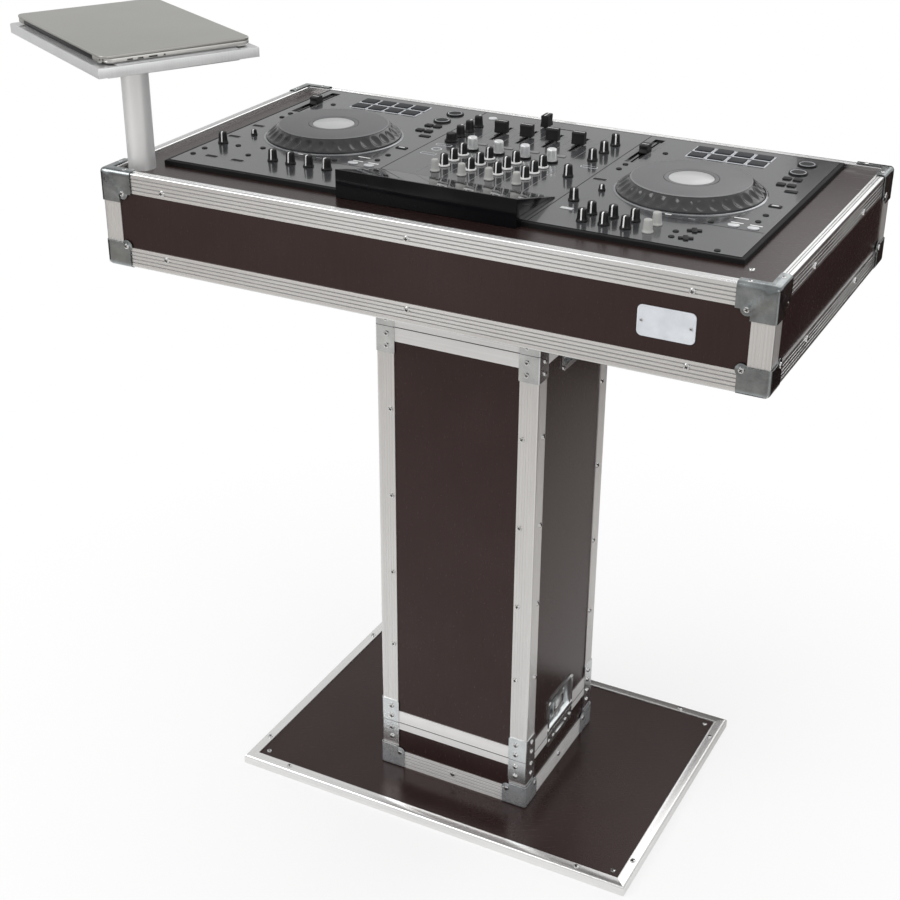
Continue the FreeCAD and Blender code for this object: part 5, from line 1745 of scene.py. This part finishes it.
    def laptop_lid(self) -> None:
        """Lid with a dark hinge barrel between two bright ends, a dark gasket, a bezel and a display."""
        piece = self.piece("laptop_upper_half")
        piece.add(self.slab(-self.laptop_u, self.lid_low, self.lid_top, 1.2, 4), LAPTOP_SILVER)
        r, dark, reach = self.barrel, self.barrel_dark, self.barrel_half
        u, z = r - self.laptop_u, self.base_top - r
        ends = ((-reach, -dark, LAPTOP_SILVER), (-dark, dark, HINGE_BLACK_AND_PAINTED_SHADE), (dark, reach, LAPTOP_SILVER))
        for low, high, finish in ends:
            shape = [(0.0, low), (r - 0.3, low), (r, low + 0.3), (r, high - 0.3), (r - 0.3, high)]
            rod = Form.lathe([*shape, (0.0, high)], 40)
            piece.add(rod, finish, shift(u, 0.0, z) @ turn(90.0, "X"))
            piece.add(Form.block((u - r, low, z), (u, high, self.lid_low + 0.4), 0.2), finish)
        gasket = MitredFrame(self.laptop_u - 4.0, self.laptop_v - 4.0, self.lid_low)
        gasket.add_to(piece, HINGE_BLACK_AND_PAINTED_SHADE, rectangle(0.0, -0.2, 1.2, 0.3))
        bezel = (rectangle(-101.0, -151.0, 104.0, 151.0), 0.06, HINGE_BLACK_AND_PAINTED_SHADE)
        display = (rectangle(-84.0, -143.0, 96.0, 143.0), 0.1, DISPLAY_GLASS)
        for outline, proud, finish in (bezel, display):
            piece.add(Form.plate(outline, 0.5, 4.0, 4), finish, shift(z=self.lid_low - proud))
        piece.done("laptop_lid", "laptop_shell", "laptop_lid")


# Console


class KnobKind(Enum):
    """The kinds of knob on the console."""

    EQ = "eq"
    TRIM = "trim"
    COLOUR = "colour"
    DECK = "deck"
    PALE = "pale"
    SMALL = "small"
    WIDE = "wide"


@dataclass(frozen=True)
class KnobShape:
    """A kind of knob: skirt, tapered grip, domed top, flutes, a raised pointer and a collar."""

    skirt: float
    radius: float
    tip: float
    height: float
    body: Finish
    pointer: bool = True
    collar: Finish | None = None
    flutes: int = 0
    flute_depth: float = 0.35
    clearance: float = 0.4
    pointer_half: float = 0.95
    proud: float = 0.35

    def add_to(self, piece: Piece, place: Matrix) -> None:
        """Adds one knob to a piece; its pointer looks to -Y of the place.

        Args:
            piece: piece that takes it.
            place: its place on the face.
        """
        piece.add(self.grip(), self.body, place)
        if self.collar is not None:
            low, top, r = self.clearance, self.clearance + 2.6, self.skirt + 1.3
            ring = [(0.0, low), (r - 0.3, low), (r, low + 0.3), (r, top - 0.4), (r - 0.5, top), (0.0, top)]
            piece.add(Form.lathe(ring, 40), self.collar, place)
        if self.pointer:
            piece.add(self.line(), MARK_WHITE, place)

    def grip(self) -> Form:
        """The knob's body.

        Returns:
            The turned form.
        """
        low, top, wide, r, tip = self.clearance, self.height, self.skirt, self.radius, self.tip
        profile = [(0.0, low), (wide - 0.3, low), (wide, low + 0.4), (wide, low + 1.6)]
        profile += [(wide - 0.5, low + 2.3)]
        for share in (0.0, 0.2, 0.4, 0.6, 0.8):
            profile.append((r + (tip - r) * share, low + 3.2 + (top - low - 4.6) * share))
        profile += [(tip, top - 1.4), (tip - 0.4, top - 0.5), (tip - 1.2, top), (0.0, top)]
        form = Form.lathe(profile, 2 * self.flutes or 40)
        return form.sculpted(self.fluted) if self.flutes else form

    def fluted(self, point: Vector) -> Vector:
        """Sinks every other line of points up the grip.

        Args:
            point: point of the grip.

        Returns:
            The point, sunk where a flute runs.
        """
        flat = math.hypot(point.x, point.y)
        inside = self.clearance + 2.6 < point.z < self.height - 0.3 and flat > self.tip - 0.7
        groove = round(math.atan2(point.y, point.x) * self.flutes / math.pi) % 2
        if not (inside and groove):
            return point
        share = 1.0 - self.flute_depth / flat
        return Vector((point.x * share, point.y * share, point.z))

    def line(self) -> Form:
        """A raised line up the front of the grip and over its top.

        Returns:
            The line.
        """
        low, top, r, tip = self.clearance + 3.0, self.height, self.radius, self.tip
        crown = top + self.proud
        side = [(-r - self.proud, low), (-tip - self.proud, top - 1.2), (1.0 - tip, crown), (-1.0, crown)]
        side += [(-1.0, top - 0.3), (1.2 - tip, top - 0.6), (-tip, low)]
        return Form.prism(-self.pointer_half, self.pointer_half, side)


KNOBS = {
    KnobKind.EQ: KnobShape(7.0, 6.5, 5.6, 18.5, SOFT_BLACK, collar=MARK_WHITE),
    KnobKind.TRIM: KnobShape(7.0, 6.0, 5.2, 18.0, KNOB_GREY, False),
    KnobKind.COLOUR: KnobShape(8.4, 8.0, 7.4, 20.5, KNOB_SILVER, False, SOFT_BLACK, 24, 0.5),
    KnobKind.DECK: KnobShape(8.0, 7.0, 6.0, 18.0, SOFT_BLACK),
    KnobKind.PALE: KnobShape(7.6, 6.6, 5.7, 18.0, KNOB_GREY, False),
    KnobKind.SMALL: KnobShape(5.2, 4.4, 4.0, 9.0, SOFT_BLACK, flutes=16),
    KnobKind.WIDE: KnobShape(9.2, 8.6, 7.6, 14.0, SOFT_BLACK, False, SOFT_BLACK, 12, 0.8),
}


@dataclass
class Console:
    """The mixing console: printed face, screen wedge, wheels, knobs, faders and buttons."""

    face: float = 1049.0
    deck: float = 1042.0
    # Width of the black band of painted shadow round the console.
    trim: float = 6.0
    middle_x: float = -6.0
    channel_x: float = -8.5
    side_x: float = 114.5
    rear: float = -195.5
    front: float = 259.5
    mixer_half: float = 143.0
    channel_pitch: float = 43.5
    jog_radius: float = 104.0
    jog_top: float = 84.0
    jog_height: float = 20.0
    jog_low: float = 3.4
    dimples: int = 32
    knob_sink: float = 0.4
    sides: tuple[str, str] = ("left", "right")

    def build(self) -> None:
        """All of the console."""
        dress(SHELL_BLACK, "console_case")
        dress(FACE_GREY, "console_face")
        dress(DISPLAY_GLASS, "screen_glass")
        self.gap()
        self.wedge()
        self.wheels()
        self.channel_knobs()
        self.faders()
        self.deck_controls()
        self.transport()
        self.printing()

    def over(self, node: str) -> Matrix:
        """The place on the face that a node is centred on."""
        return shift(*node_spot(node), self.face)

    def gap(self) -> None:
        """A black band on the deck round the console: painted shadow of the gap at the deck's cut-out."""
        low, high = node_box("console_face")
        middle, half = (low + high) / 2.0, (high - low) / 2.0
        # The band is painted shadow in the gap between the console and the deck.
        wide, rise = self.trim, self.face - self.deck - 0.8
        piece = Piece("cutout_shadow_band", shift(middle.x))
        edge = MitredFrame(half.x + wide, half.y + wide, self.deck, middle.y)
        section = [(0.0, -0.2), (0.0, rise - 0.9), (0.9, rise), (wide, rise), (wide, -0.2)]
        edge.add_to(piece, SEAM_AND_SHADOW_BLACK, section)
        piece.done("booth", "button_gloss")

    def wedge(self) -> None:
        """The screen wedge with a recess for its glass."""
        low, high = node_box("screen_housing")
        face, rear = self.face, self.rear
        profile = [(low.y, low.z), (rear, low.z), (rear, face), (high.y, face), (high.y, face + 1.5)]
        form = Form.prism(low.x, high.x, [*profile, (low.y, high.z)])
        slope = max(form.bm.faces, key=lambda side: side.normal.z * side.calc_area())
        form.inset([slope], (6.9, 0.0), (0.05, -2.1)).softened(0.9, 3, math.radians(12))
        Piece("screen_wedge").add(form, PIANO_BLACK).done("booth", "screen_frame", "screen_housing")

    def wheels(self) -> None:
        """Jog wheels with dimpled rims, and the bright rings that they turn in."""
        rings = Piece("wheel_surrounds")
        r = self.jog_radius + 0.6
        ring = [(r, 0.0), (r + 3.2, 0.0), (r + 3.2, 0.4), (r + 2.4, 1.1), (r + 0.4, 1.4), (r, 1.2)]
        for side in self.sides:
            node = f"jog_wheel_{side}"
            piece = Piece(f"{node}_turned", self.over(node))
            piece.add(self.rim(), JOG_RIM)
            self.add_plate(piece, side, node_spot(node))
            piece.done(node, "jog_rubber", node)
            rings.add(Form.hoop(ring, 128), RING_SILVER, self.over(node))
        rings.done("booth", "silver_knob")

    def rim(self) -> Form:
        """The conical rim with its round dimples.

        Returns:
            The turned form.
        """
        r, t, h, low, rows = self.jog_radius, self.jog_top, self.jog_height, self.jog_low, 18
        profile = [(0.0, 1.0), (r - 8.0, 1.0), (r - 1.0, 0.5), (r, 1.2), (r, low)]
        for row in range(1, rows + 1):
            share = row / rows
            profile.append((r + (t + 1.5 - r) * share, low + (h - 2.2 - low) * share))
        profile += [(t + 0.4, h - 1.4), (t - 1.0, h - 1.2), (0.0, h - 1.2)]
        return Form.lathe(profile, self.dimples * 14).sculpted(self.dimpled)

    def dimpled(self, point: Vector) -> Vector:
        """Sinks the dimples into the rim's cone.

        Args:
            point: point of the rim.

        Returns:
            The point, sunk where a dimple is.
        """
        h, low = self.jog_height, self.jog_low
        flat = math.hypot(point.x, point.y)
        if not (self.jog_top + 1.0 < flat < self.jog_radius - 0.2 and low < point.z < h - 1.5):
            return point
        pace = math.tau / self.dimples
        turns = math.atan2(point.y, point.x) / pace
        off = (turns - math.floor(turns) - 0.5) * pace * flat
        up = ((point.z - low) / (h - 2.2 - low) - 0.5) * 24.0
        reach = (off / 8.4) ** 2 + (up / 10.2) ** 2
        sink = max(0.0, math.sqrt(max(0.0, 4.0 - reach)) - math.sqrt(3.0)) * 10.5
        scale = 1.0 - 0.6 * sink / flat
        return Vector((point.x * scale, point.y * scale, point.z - 0.8 * sink))

    def add_plate(self, piece: Piece, side: str, centre: Point2) -> None:
        """Adds the flat top plate of a wheel, its pale display, the ring round it and a lighter edge that is
        partly painted highlight.

        Args:
            piece: piece of the wheel.
            side: left or right.
            centre: middle of the wheel.
        """
        t, h, low = self.jog_top - 0.4, self.jog_height, self.jog_height - 1.3
        grey = TurnedPlate(f"wheel_plate_{side}", centre)
        plate = [(40.0, low), (t, low), (t, h - 0.2), (t - 0.6, h), (40.0, h), (39.0, h - 0.7), (39.0, low)]
        piece.add(Form.hoop(plate, 160), grey)
        inner = [(32.6, low), (38.4, low), (38.4, h - 0.5), (38.0, h - 0.1), (33.2, h - 0.1), (32.6, h - 0.5)]
        piece.add(Form.hoop(inner, 128), grey)
        foot = h - 1.5
        # The edge is lighter than the plate: a rounded bevel, partly painted highlight.
        edge = [(t - 0.1, h - 0.1), (t + 0.9, h - 0.35), (t + 1.5, h - 1.0), (t + 1.5, foot), (t - 0.1, foot)]
        piece.add(Form.hoop(edge, 160), PRINT_GREY_AND_EDGE_HIGHLIGHT)
        hub = TurnedPlate(f"wheel_hub_{grey.name}", centre, (0.56, 0.56, 0.565), 0.0, 0.24)
        disc = [(0.0, low), (32.0, low), (32.0, h - 0.9), (31.4, h - 0.5), (0.0, h - 0.35)]
        piece.add(Form.lathe(disc, 96), hub)

    def channel_knobs(self) -> None:
        """The knobs of the four strips, each on its own body."""
        rows = (
            ("trim", KnobKind.TRIM, "grey_knob"),
            ("high", KnobKind.EQ, "black_knob"),
            ("mid", KnobKind.EQ, "black_knob"),
            ("low", KnobKind.EQ, "black_knob"),
            ("colour", KnobKind.COLOUR, "silver_knob"),
        )
        for number, (name, kind, slot) in itertools.product((1, 2, 3, 4), rows):
            node = f"{name}_knob_{number}"
            piece = Piece(f"{node}_turned")
            KNOBS[kind].add_to(piece, self.over(node))
            piece.done(node, slot, node)

    def fader_cap(self, width: float, length: float, height: float, low: float) -> tuple[Form, Form, Form]:
        """A finger cap across X with a waist, its pointer line and its blade.

        Args:
            width: size along X.
            length: size along Y.
            height: height of the cap.
            low: underside over the face.

        Returns:
            The three forms.
        """
        half, reach, top, middle = width / 2.0, length / 2.0, low + height, low + 0.5 * height
        side = [(reach, low), (reach, low + 0.14 * height), (length * 0.42, middle)]
        side += [(reach * 0.92, low + 0.9 * height), (reach * 0.8, top)]
        cap = Form.prism(-half, half, mirrored(side)).softened(0.7, 3, math.radians(15))
        line = Form.block((1.0 - half, -0.6, top - 0.3), (half - 1.0, 0.6, top + 0.12))
        return cap, line, Form.block((-1.1, -3.5, -14.0), (1.1, 3.5, middle), 0.2)

    def faders(self) -> None:
        """Channel faders, crossfader and pitch faders, each on its own body."""
        slim = self.fader_cap(20.0, 13.0, 18.5, 2.0)
        for number in (1, 2, 3, 4):
            self.fader(f"channel_fader_{number}", slim)
        self.fader("crossfader", slim, 90.0)
        broad = self.fader_cap(13.0, 22.0, 12.6, -1.9)
        for side in self.sides:
            self.fader(f"pitch_fader_{side}", broad)

    def fader(self, node: str, forms: Sequence[Form], spin: float = 0.0) -> None:
        """Makes one fader from its forms.

        Args:
            node: node that it stands for.
            forms: cap, line and blade.
            spin: turn in degrees.
        """
        piece = Piece(f"{node}_cap", self.over(node) @ turn(spin))
        for form, finish in zip(forms, (FADER_BLACK, MARK_WHITE, SHELL_BLACK)):
            piece.add(form, finish)
        piece.done(node, "fader_black", node)

    def deck_controls(self) -> None:
        """Pads, remaining knobs and small buttons, fixed on the face."""
        piece = Piece("deck_controls_set")
        pad = Form.block((-12.4, -10.9, 0.0), (12.4, 10.9, 2.4), 1.0, 3)
        pads = [(column * 31.0 - 50.5, 169.0 + row * 32.0) for column in range(4) for row in range(2)]
        for side in self.sides:
            piece.base = self.over(f"jog_wheel_{side}")
            piece.spread(pad, PAD_RUBBER, pads).spread(self.pad_frame(), FRAME_PALE, pads)
            self.deck_knobs(piece, side)
            self.deck_buttons(piece, side)
        piece.base = shift(z=self.face)
        self.column_knobs(piece)
        piece.done("booth", "button_gloss", "deck_controls")

    def pad_frame(self) -> Form:
        """The pale frame round a pad.

        Returns:
            The frame.
        """
        form = Form.tile(15.1, 13.8, 0.4, 1.0, 3)
        flats = [face for face in form.bm.faces if abs(face.normal.z) > 0.9]
        bmesh.ops.inset_individual(form.bm, faces=flats, thickness=2.5, depth=0.0, use_even_offset=True)
        bmesh.ops.delete(form.bm, geom=flats, context="FACES_ONLY")
        bmesh.ops.bridge_loops(form.bm, edges=[edge for edge in form.bm.edges if len(edge.link_faces) == 1])
        return form.sealed()

    def knob(self, piece: Piece, kind: KnobKind, x: float, y: float, spin: float) -> None:
        """Adds a fixed knob with a turn in degrees."""
        KNOBS[kind].add_to(piece, shift(x, y, -self.knob_sink) @ turn(spin))

    def deck_knobs(self, piece: Piece, side: str) -> None:
        """Knobs at the rear of a deck, placed from its wheel.

        Args:
            piece: piece that takes them.
            side: left or right.
        """
        right = side == "right"
        first, rows = (-83.5, (0, 1)) if right else (-10.5, (1,))
        for column, row in itertools.product(range(4), rows):
            kind = KnobKind.PALE if right and column == 3 else KnobKind.DECK
            self.knob(piece, kind, first + column * 31.0, 33.0 * row - 189.0, 12.0 - 8.0 * column)
        self.knob(piece, KnobKind.DECK, -128.0, -114.0, 20.0)
        self.knob(piece, KnobKind.SMALL, -111.0, -55.0, 10.0)

    def column_knobs(self, piece: Piece) -> None:
        """Knobs beside the channel strips.

        Args:
            piece: piece that takes them.
        """
        for step in (0, 2, 3, 4):
            self.knob(piece, KnobKind.DECK, self.channel_x + self.side_x, 8.0 + step * 44.5, 6.0 * step)
        for step in range(4):
            kind = KnobKind.DECK if step else KnobKind.WIDE
            self.knob(piece, kind, self.channel_x - self.side_x, 85.0 + 31.0 * step, 160.0)

    def button(self, r: float = 4.2, rise: float = 1.2) -> Form:
        """A low round button with a dished top."""
        profile = [(0.0, 0.0), (r, 0.0), (r, rise - 0.4), (r - 0.4, rise), (r * 0.7, rise)]
        return Form.lathe([*profile, (r * 0.4, rise - 0.2), (0.0, rise - 0.25)], 32)

    def deck_buttons(self, piece: Piece, side: str) -> None:
        """Round and oblong buttons on a deck, placed from its wheel.

        Args:
            piece: piece that takes them.
            side: left or right.
        """
        lamp = Form.tile(8.0, 5.6, 1.9, 5.4, 8).softened(0.6)
        piece.spread(lamp, LAMP_WHITE, ((100.0, -111.0), (127.0, -111.0)))
        square = Form.tile(6.2, 6.0, 1.8, 2.0, 4).softened(0.4)
        piece.spread(square, BUTTON_BLACK, [(110.0 + sx * 7.6, 105.0 + sy * 15.0) for sx, sy in QUADRANTS])
        rounds = [(125.0, -51.0), (124.0, -81.0), (-128.0, 50.0), (-128.0, 75.0), (-96.0, 155.0)]
        if side == "right":
            rounds += [(69.0, -112.0), (41.0, -169.0), (43.0, -191.0), (113.0, -213.0)]
        else:
            rounds += [(69.0, -112.0), (-135.0, -182.0), (-136.0, -151.0), (-99.0, -116.0)]
            rounds += [(-58.0, -150.0), (-59.0, -109.0)]
        piece.spread(self.button(), BUTTON_BLACK, rounds)
        key = Form.tile(9.0, 4.5, 1.2, 1.0, 3).softened(0.35)
        piece.spread(key, BUTTON_BLACK, ((125.0, -9.0), (125.0, 64.0)))
        piece.spread(Form.tile(5.0, 2.0, 0.3, 0.8, 3), LAMP_WHITE, ((125.0, -9.0),), 1.15)
        if side == "right":
            lobed = Form.plate(cross(10.0, 9.0, 3.4), 1.7, 1.4, 3).softened(0.4)
            piece.add(lobed, BUTTON_BLACK, *(shift(62.0, y) @ turn(20.0) for y in (-189.0, -156.0)))
        self.transport_cap(piece, -0.2, shift(109.0, 152.0))

    def transport_cap(self, piece: Piece, low: float, *places: Matrix) -> None:
        """Adds a large round button with a thin ring on its top.

        Args:
            piece: piece that takes it.
            low: underside.
            places: places from the piece's base.
        """
        r, rise = 14.0, 2.5
        body = Form.lathe([(0.0, low), (r, low), (r, rise - 0.9), (r - 0.8, rise), (0.0, rise + 0.15)], 64)
        ring = [(r - 3.4, rise - 0.2), (r - 2.4, rise - 0.2), (r - 2.5, rise + 0.16), (r - 3.3, rise + 0.17)]
        piece.add(body, BUTTON_BLACK, *places).add(Form.hoop(ring, 64), FRAME_PALE, *places)

    def transport(self) -> None:
        """Play buttons, each on its own body."""
        for side in self.sides:
            node = f"play_button_{side}"
            piece = Piece(f"{node}_cap", self.over(node))
            self.transport_cap(piece, -6.0)
            piece.done(node, "button_gloss", node)

    def bar(
        self, piece: Piece, finish: Finish, x: float, y: float, width: float, depth: float, rise: float = 0.15
    ) -> None:
        """Prints a thin bar on the face, around its middle and up to its rise."""
        half_x, half_y = width / 2.0, depth / 2.0
        piece.add(Form.block((x - half_x, y - half_y, -0.2), (x + half_x, y + half_y, rise)), finish)

    def marks(
        self, piece: Piece, x: float, away: float, levels: Iterable[float], wide: float, thin: float
    ) -> None:
        """Prints a scale on both sides of a slot.

        Args:
            piece: piece that takes it.
            x: middle of the slot.
            away: space between that middle and the marks.
            levels: place of each mark along Y.
            wide: length of every fifth mark.
            thin: length of the others.
        """
        for (step, y), sign in itertools.product(enumerate(levels), BOTH):
            width = thin if step % 5 else wide
            self.bar(piece, PRINT_GREY_AND_EDGE_HIGHLIGHT, x + sign * (away + width / 2.0), y, width, 0.5)

    def printing(self) -> None:
        """Seams of the plate, printed frames and bars, and slot liners."""
        piece = Piece("face_printing", shift(z=self.face))
        depth, middle = self.front - self.rear, (self.front + self.rear) / 2.0
        for sign in BOTH:
            self.bar(piece, SEAM_AND_SHADOW_BLACK, self.middle_x + sign * self.mixer_half, middle, 1.1, depth - 0.4)
        for step in (-2.0, -1.0, 0.0, 1.0, 2.0):
            self.bar(piece, PRINT_GREY_AND_EDGE_HIGHLIGHT, self.channel_x + step * self.channel_pitch, 82.0, 0.7, 330.0)
        for step in (-1.5, -0.5, 0.5, 1.5):
            self.strip_printing(piece, self.channel_x + step * self.channel_pitch)
        for side in self.sides:
            piece.base = self.over(f"jog_wheel_{side}")
            self.deck_printing(piece, side)
        piece.base = shift(z=self.face)
        beside = self.channel_x - 115.0
        white = Form.lathe([(0.0, 0.0), (7.0, 0.0), (7.0, 1.0), (6.5, 1.5), (0.0, 1.6)], 40)
        piece.add(white, LAMP_WHITE, shift(beside, 230.0))
        piece.add(Form.hoop(rectangle(6.6, 0.0, 8.0, 0.18), 40), FRAME_PALE, shift(beside, 38.0))
        piece.add(Form.tile(9.0, 4.0, 0.9, 1.2, 3).softened(0.3), LAMP_WHITE, shift(163.0, -125.0))
        labels = ((115.0, 63.5), (-123.5, 62.0), (-123.5, 12.0))
        piece.spread(Form.tile(13.0, 4.6, 0.3, 3.0, 4), FRAME_PALE, labels, -0.1)
        piece.spread(Form.tile(12.2, 3.8, 0.35, 2.6, 4), FACE_GREY, labels, -0.1)
        piece.done("booth", "console_plate")

    def strip_printing(self, piece: Piece, x: float) -> None:
        """Cue lamp, fader scale and slot liner of one strip.

        Args:
            piece: piece that takes them.
            x: middle of the strip.
        """
        piece.add(Form.tile(8.0, 4.0, 1.0, 1.2, 3).softened(0.3), PRINT_GREY_AND_EDGE_HIGHLIGHT, shift(x, 92.0))
        self.marks(piece, x, 4.0, [130.0 + 6.0 * step for step in range(11)], 7.0, 4.5)
        for sign in BOTH:
            self.bar(piece, SEAM_AND_SHADOW_BLACK, x + sign * 2.1, 160.0, 0.9, 77.0, 0.2)

    def deck_printing(self, piece: Piece, side: str) -> None:
        """Printed bars of a deck and the scale of its pitch fader, placed from its wheel.

        Args:
            piece: piece that takes them.
            side: left or right.
        """
        bars = ((100.0, -78.0, 20.0), (101.0, -98.0, 17.0), (127.0, -98.0, 17.0), (8.0, -109.0, 9.0))
        for x, y, wide in bars:
            self.bar(piece, MARK_WHITE, x, y, wide, 2.6)
        self.bar(piece, PRINT_GREY_AND_EDGE_HIGHLIGHT, 42.0, -112.0, 10.0, 2.0)
        self.bar(piece, SEAM_AND_SHADOW_BLACK, 72.0, -122.0, 146.0, 0.8)
        self.marks(piece, -128.0, 9.5, [104.0 + 5.0 * step for step in range(21)], 6.0, 3.5)
        boxes = [(-133.0, -10.0)]
        if side == "left":
            boxes += [(-103.0, -180.0), (-57.0, -180.0), (-133.0, -77.0)]
        piece.spread(Form.tile(11.0, 5.5, 0.3, 2.0, 4), PRINT_GREY_AND_EDGE_HIGHLIGHT, boxes, -0.1)
        piece.spread(Form.tile(9.8, 4.3, 0.35, 1.6, 4), SEAM_AND_SHADOW_BLACK, boxes, -0.1)


# Studio


@dataclass
class Studio:
    """Pale floor, soft light and the camera at the photographer's place."""

    eye: Point3 = (0.978169, -2.032574, 1.73846)
    yaw: float = 27.462
    pitch: float = -27.09
    roll: float = 0.317
    focal_pixels: float = 1591.489
    picture: float = 900.0
    sensor: float = 36.0
    lamp_target: Point3 = (0.0, 0.0, 0.7)
    sky_mirrored: float = 0.66
    sky_light: float = 0.70
    floor_half: float = 30.0
    floor_tone: Colour = (0.96, 0.96, 0.96)
    # Floor colours that only glossy rays see: painted reflections of a room, a bright band and a dark corner.
    reflected_room_tone: Colour = (0.47, 0.44, 0.415)
    reflected_bright_tone: Colour = (1.0, 1.0, 0.99)
    reflected_dark_tone: Colour = (0.06, 0.042, 0.04)

    def build(self) -> None:
        """Everything that is not the object."""
        scene = bpy.context.scene
        scene.view_settings.view_transform = "Standard"
        self.camera(scene)
        self.world(scene)
        self.floor()
        self.lamp("key", (-2.6, -3.0, 3.6), 2.6, 75.0)
        self.lamp("fill", (3.4, -1.8, 2.4), 2.4, 22.0)
        self.lamp("back", (0.6, 3.2, 3.2), 2.6, 24.0)
        wall = [(-0.6, 0.0), (2.6, 0.0), (2.6, 0.2), (1.1, 0.2), (0.75, 0.68), (0.6, 1.5)]
        wall += [(0.02, 1.56), (-0.03, 0.95), (-0.6, 0.85)]
        self.flag("dark_side", [(x, 1.6, z) for x, z in wall], (0.030, 0.020, 0.019))
        screen = rectangle(-1.4, 0.0, 1.2, 0.72)
        self.flag("grey_side", [(-2.3, y, z) for y, z in screen], (0.10, 0.10, 0.10))

    def camera(self, scene: bpy.types.Scene) -> None:
        """The camera that was fitted to the photograph.

        Args:
            scene: scene that takes it.
        """
        data = bpy.data.cameras.new("camera")
        data.sensor_width = self.sensor
        data.lens = self.focal_pixels / self.picture * self.sensor
        data.clip_end = 100.0
        made = bpy.data.objects.new("camera", data)
        scene.collection.objects.link(made)
        made.matrix_world = shift(*self.eye) @ turn(self.yaw) @ turn(90.0 + self.pitch, "X") @ turn(self.roll)
        scene.camera = made

    def world(self, scene: bpy.types.Scene) -> None:
        """A pale surround: white as seen, a little less as mirrored and as light.

        Args:
            scene: scene that takes it.
        """
        recipe = Recipe(bpy.data.worlds.new("white_room"))
        scene.world = recipe.owner
        path = recipe.node("ShaderNodeLightPath")
        level: Signal | float = self.sky_light
        for name, strength in (("Is Glossy Ray", self.sky_mirrored), ("Is Camera Ray", 1.0)):
            step = recipe.node("ShaderNodeMix", {0: recipe.signal(path, name), 2: level, 3: strength})
            level = recipe.signal(step)
        sky = recipe.tree.nodes["Background"]
        recipe.feed(sky.inputs["Color"], (1.0, 1.0, 1.0, 1.0))
        recipe.feed(sky.inputs["Strength"], level)

    def floor(self) -> None:
        """A wide pale floor that fades to white far off; to glossy rays it shows painted reflections of a
        duller room, a bright band and a dark corner.
        """
        recipe = Recipe(bpy.data.materials.new("studio_floor"))
        x, y, _ = recipe.split(recipe.place())
        path = recipe.node("ShaderNodeLightPath")
        seen, glossy = recipe.signal(path, "Is Camera Ray"), recipe.signal(path, "Is Glossy Ray")
        far = (x * x + y * y).math("SQRT").fitted(0.3, 1.2, 0.65, 1.0) * seen
        # Glossy rays see painted reflections: a duller room in front and to the right, a bright band far
        # ahead and a dark corner behind on the right.
        front = y.fitted(-0.35, -1.8)
        flank = x.fitted(0.15, 0.45) * y.fitted(-0.1, 0.25) * 0.85
        beam = x - 0.466 * y - 0.264
        bright_band = beam.fitted(-1.3, -0.15) * beam.fitted(0.4, 0.1, 0.3, 1.0) * y.fitted(-2.1, -2.8)
        ahead = recipe.blend(bright_band, self.reflected_room_tone, self.reflected_bright_tone)
        room = recipe.blend(front.math("MAXIMUM", flank) * glossy, self.floor_tone, ahead)
        corner = x.fitted(0.62, 0.85) * y.fitted(0.5, 0.9) * glossy
        shaded = recipe.blend(corner, room, self.reflected_dark_tone)
        recipe.set(Base_Color=recipe.blend(far, shaded, (0.0, 0.0, 0.0)))
        recipe.set(Roughness=0.9, Specular_IOR_Level=0.0)
        recipe.set(Emission_Color=recipe.joined(far, far, far), Emission_Strength=1.0)
        bm = bmesh.new()
        bmesh.ops.create_grid(bm, x_segments=1, y_segments=1, size=self.floor_half, matrix=shift(z=-0.0004))
        linked("studio_floor", bm, recipe.owner)

    def flag(self, name: str, outline: Iterable[Point3], tone: Colour) -> None:
        """A studio flag that only shows as a reflection in gloss and metal.

        Args:
            name: name of the flag.
            outline: its corners in metres.
            tone: its colour.
        """
        recipe = Recipe(bpy.data.materials.new(name))
        recipe.set(Base_Color=(*tone, 1.0), Roughness=1.0, Specular_IOR_Level=0.0)
        made = linked(name, Form(outline).bm, recipe.owner)
        made.visible_camera = False
        made.visible_diffuse = False
        made.visible_transmission = False
        made.visible_shadow = False

    def lamp(self, name: str, where: Point3, size: float, watts: float) -> None:
        """A large soft lamp that looks at the tray.

        Args:
            name: name of the lamp.
            where: its place in metres.
            size: side of its square in metres.
            watts: its power.
        """
        data = bpy.data.lights.new(name, "AREA")
        data.size = size
        data.energy = watts
        made = bpy.data.objects.new(name, data)
        bpy.context.scene.collection.objects.link(made)
        look = Vector(self.lamp_target) - Vector(where)
        made.matrix_world = Matrix.Translation(where) @ look.to_track_quat("-Z", "Y").to_matrix().to_4x4()


def main() -> None:
    """Builds the booth's pieces in order."""
    logging.basicConfig(level=logging.INFO, format="%(name)s %(message)s")
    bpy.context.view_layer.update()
    for assembly in (Foot(), Column(), Latches(), Tray(), LaptopStand(), Console(), SCREWS):
        assembly.build()
    Studio().build()


if __name__ == "__main__":
    main()
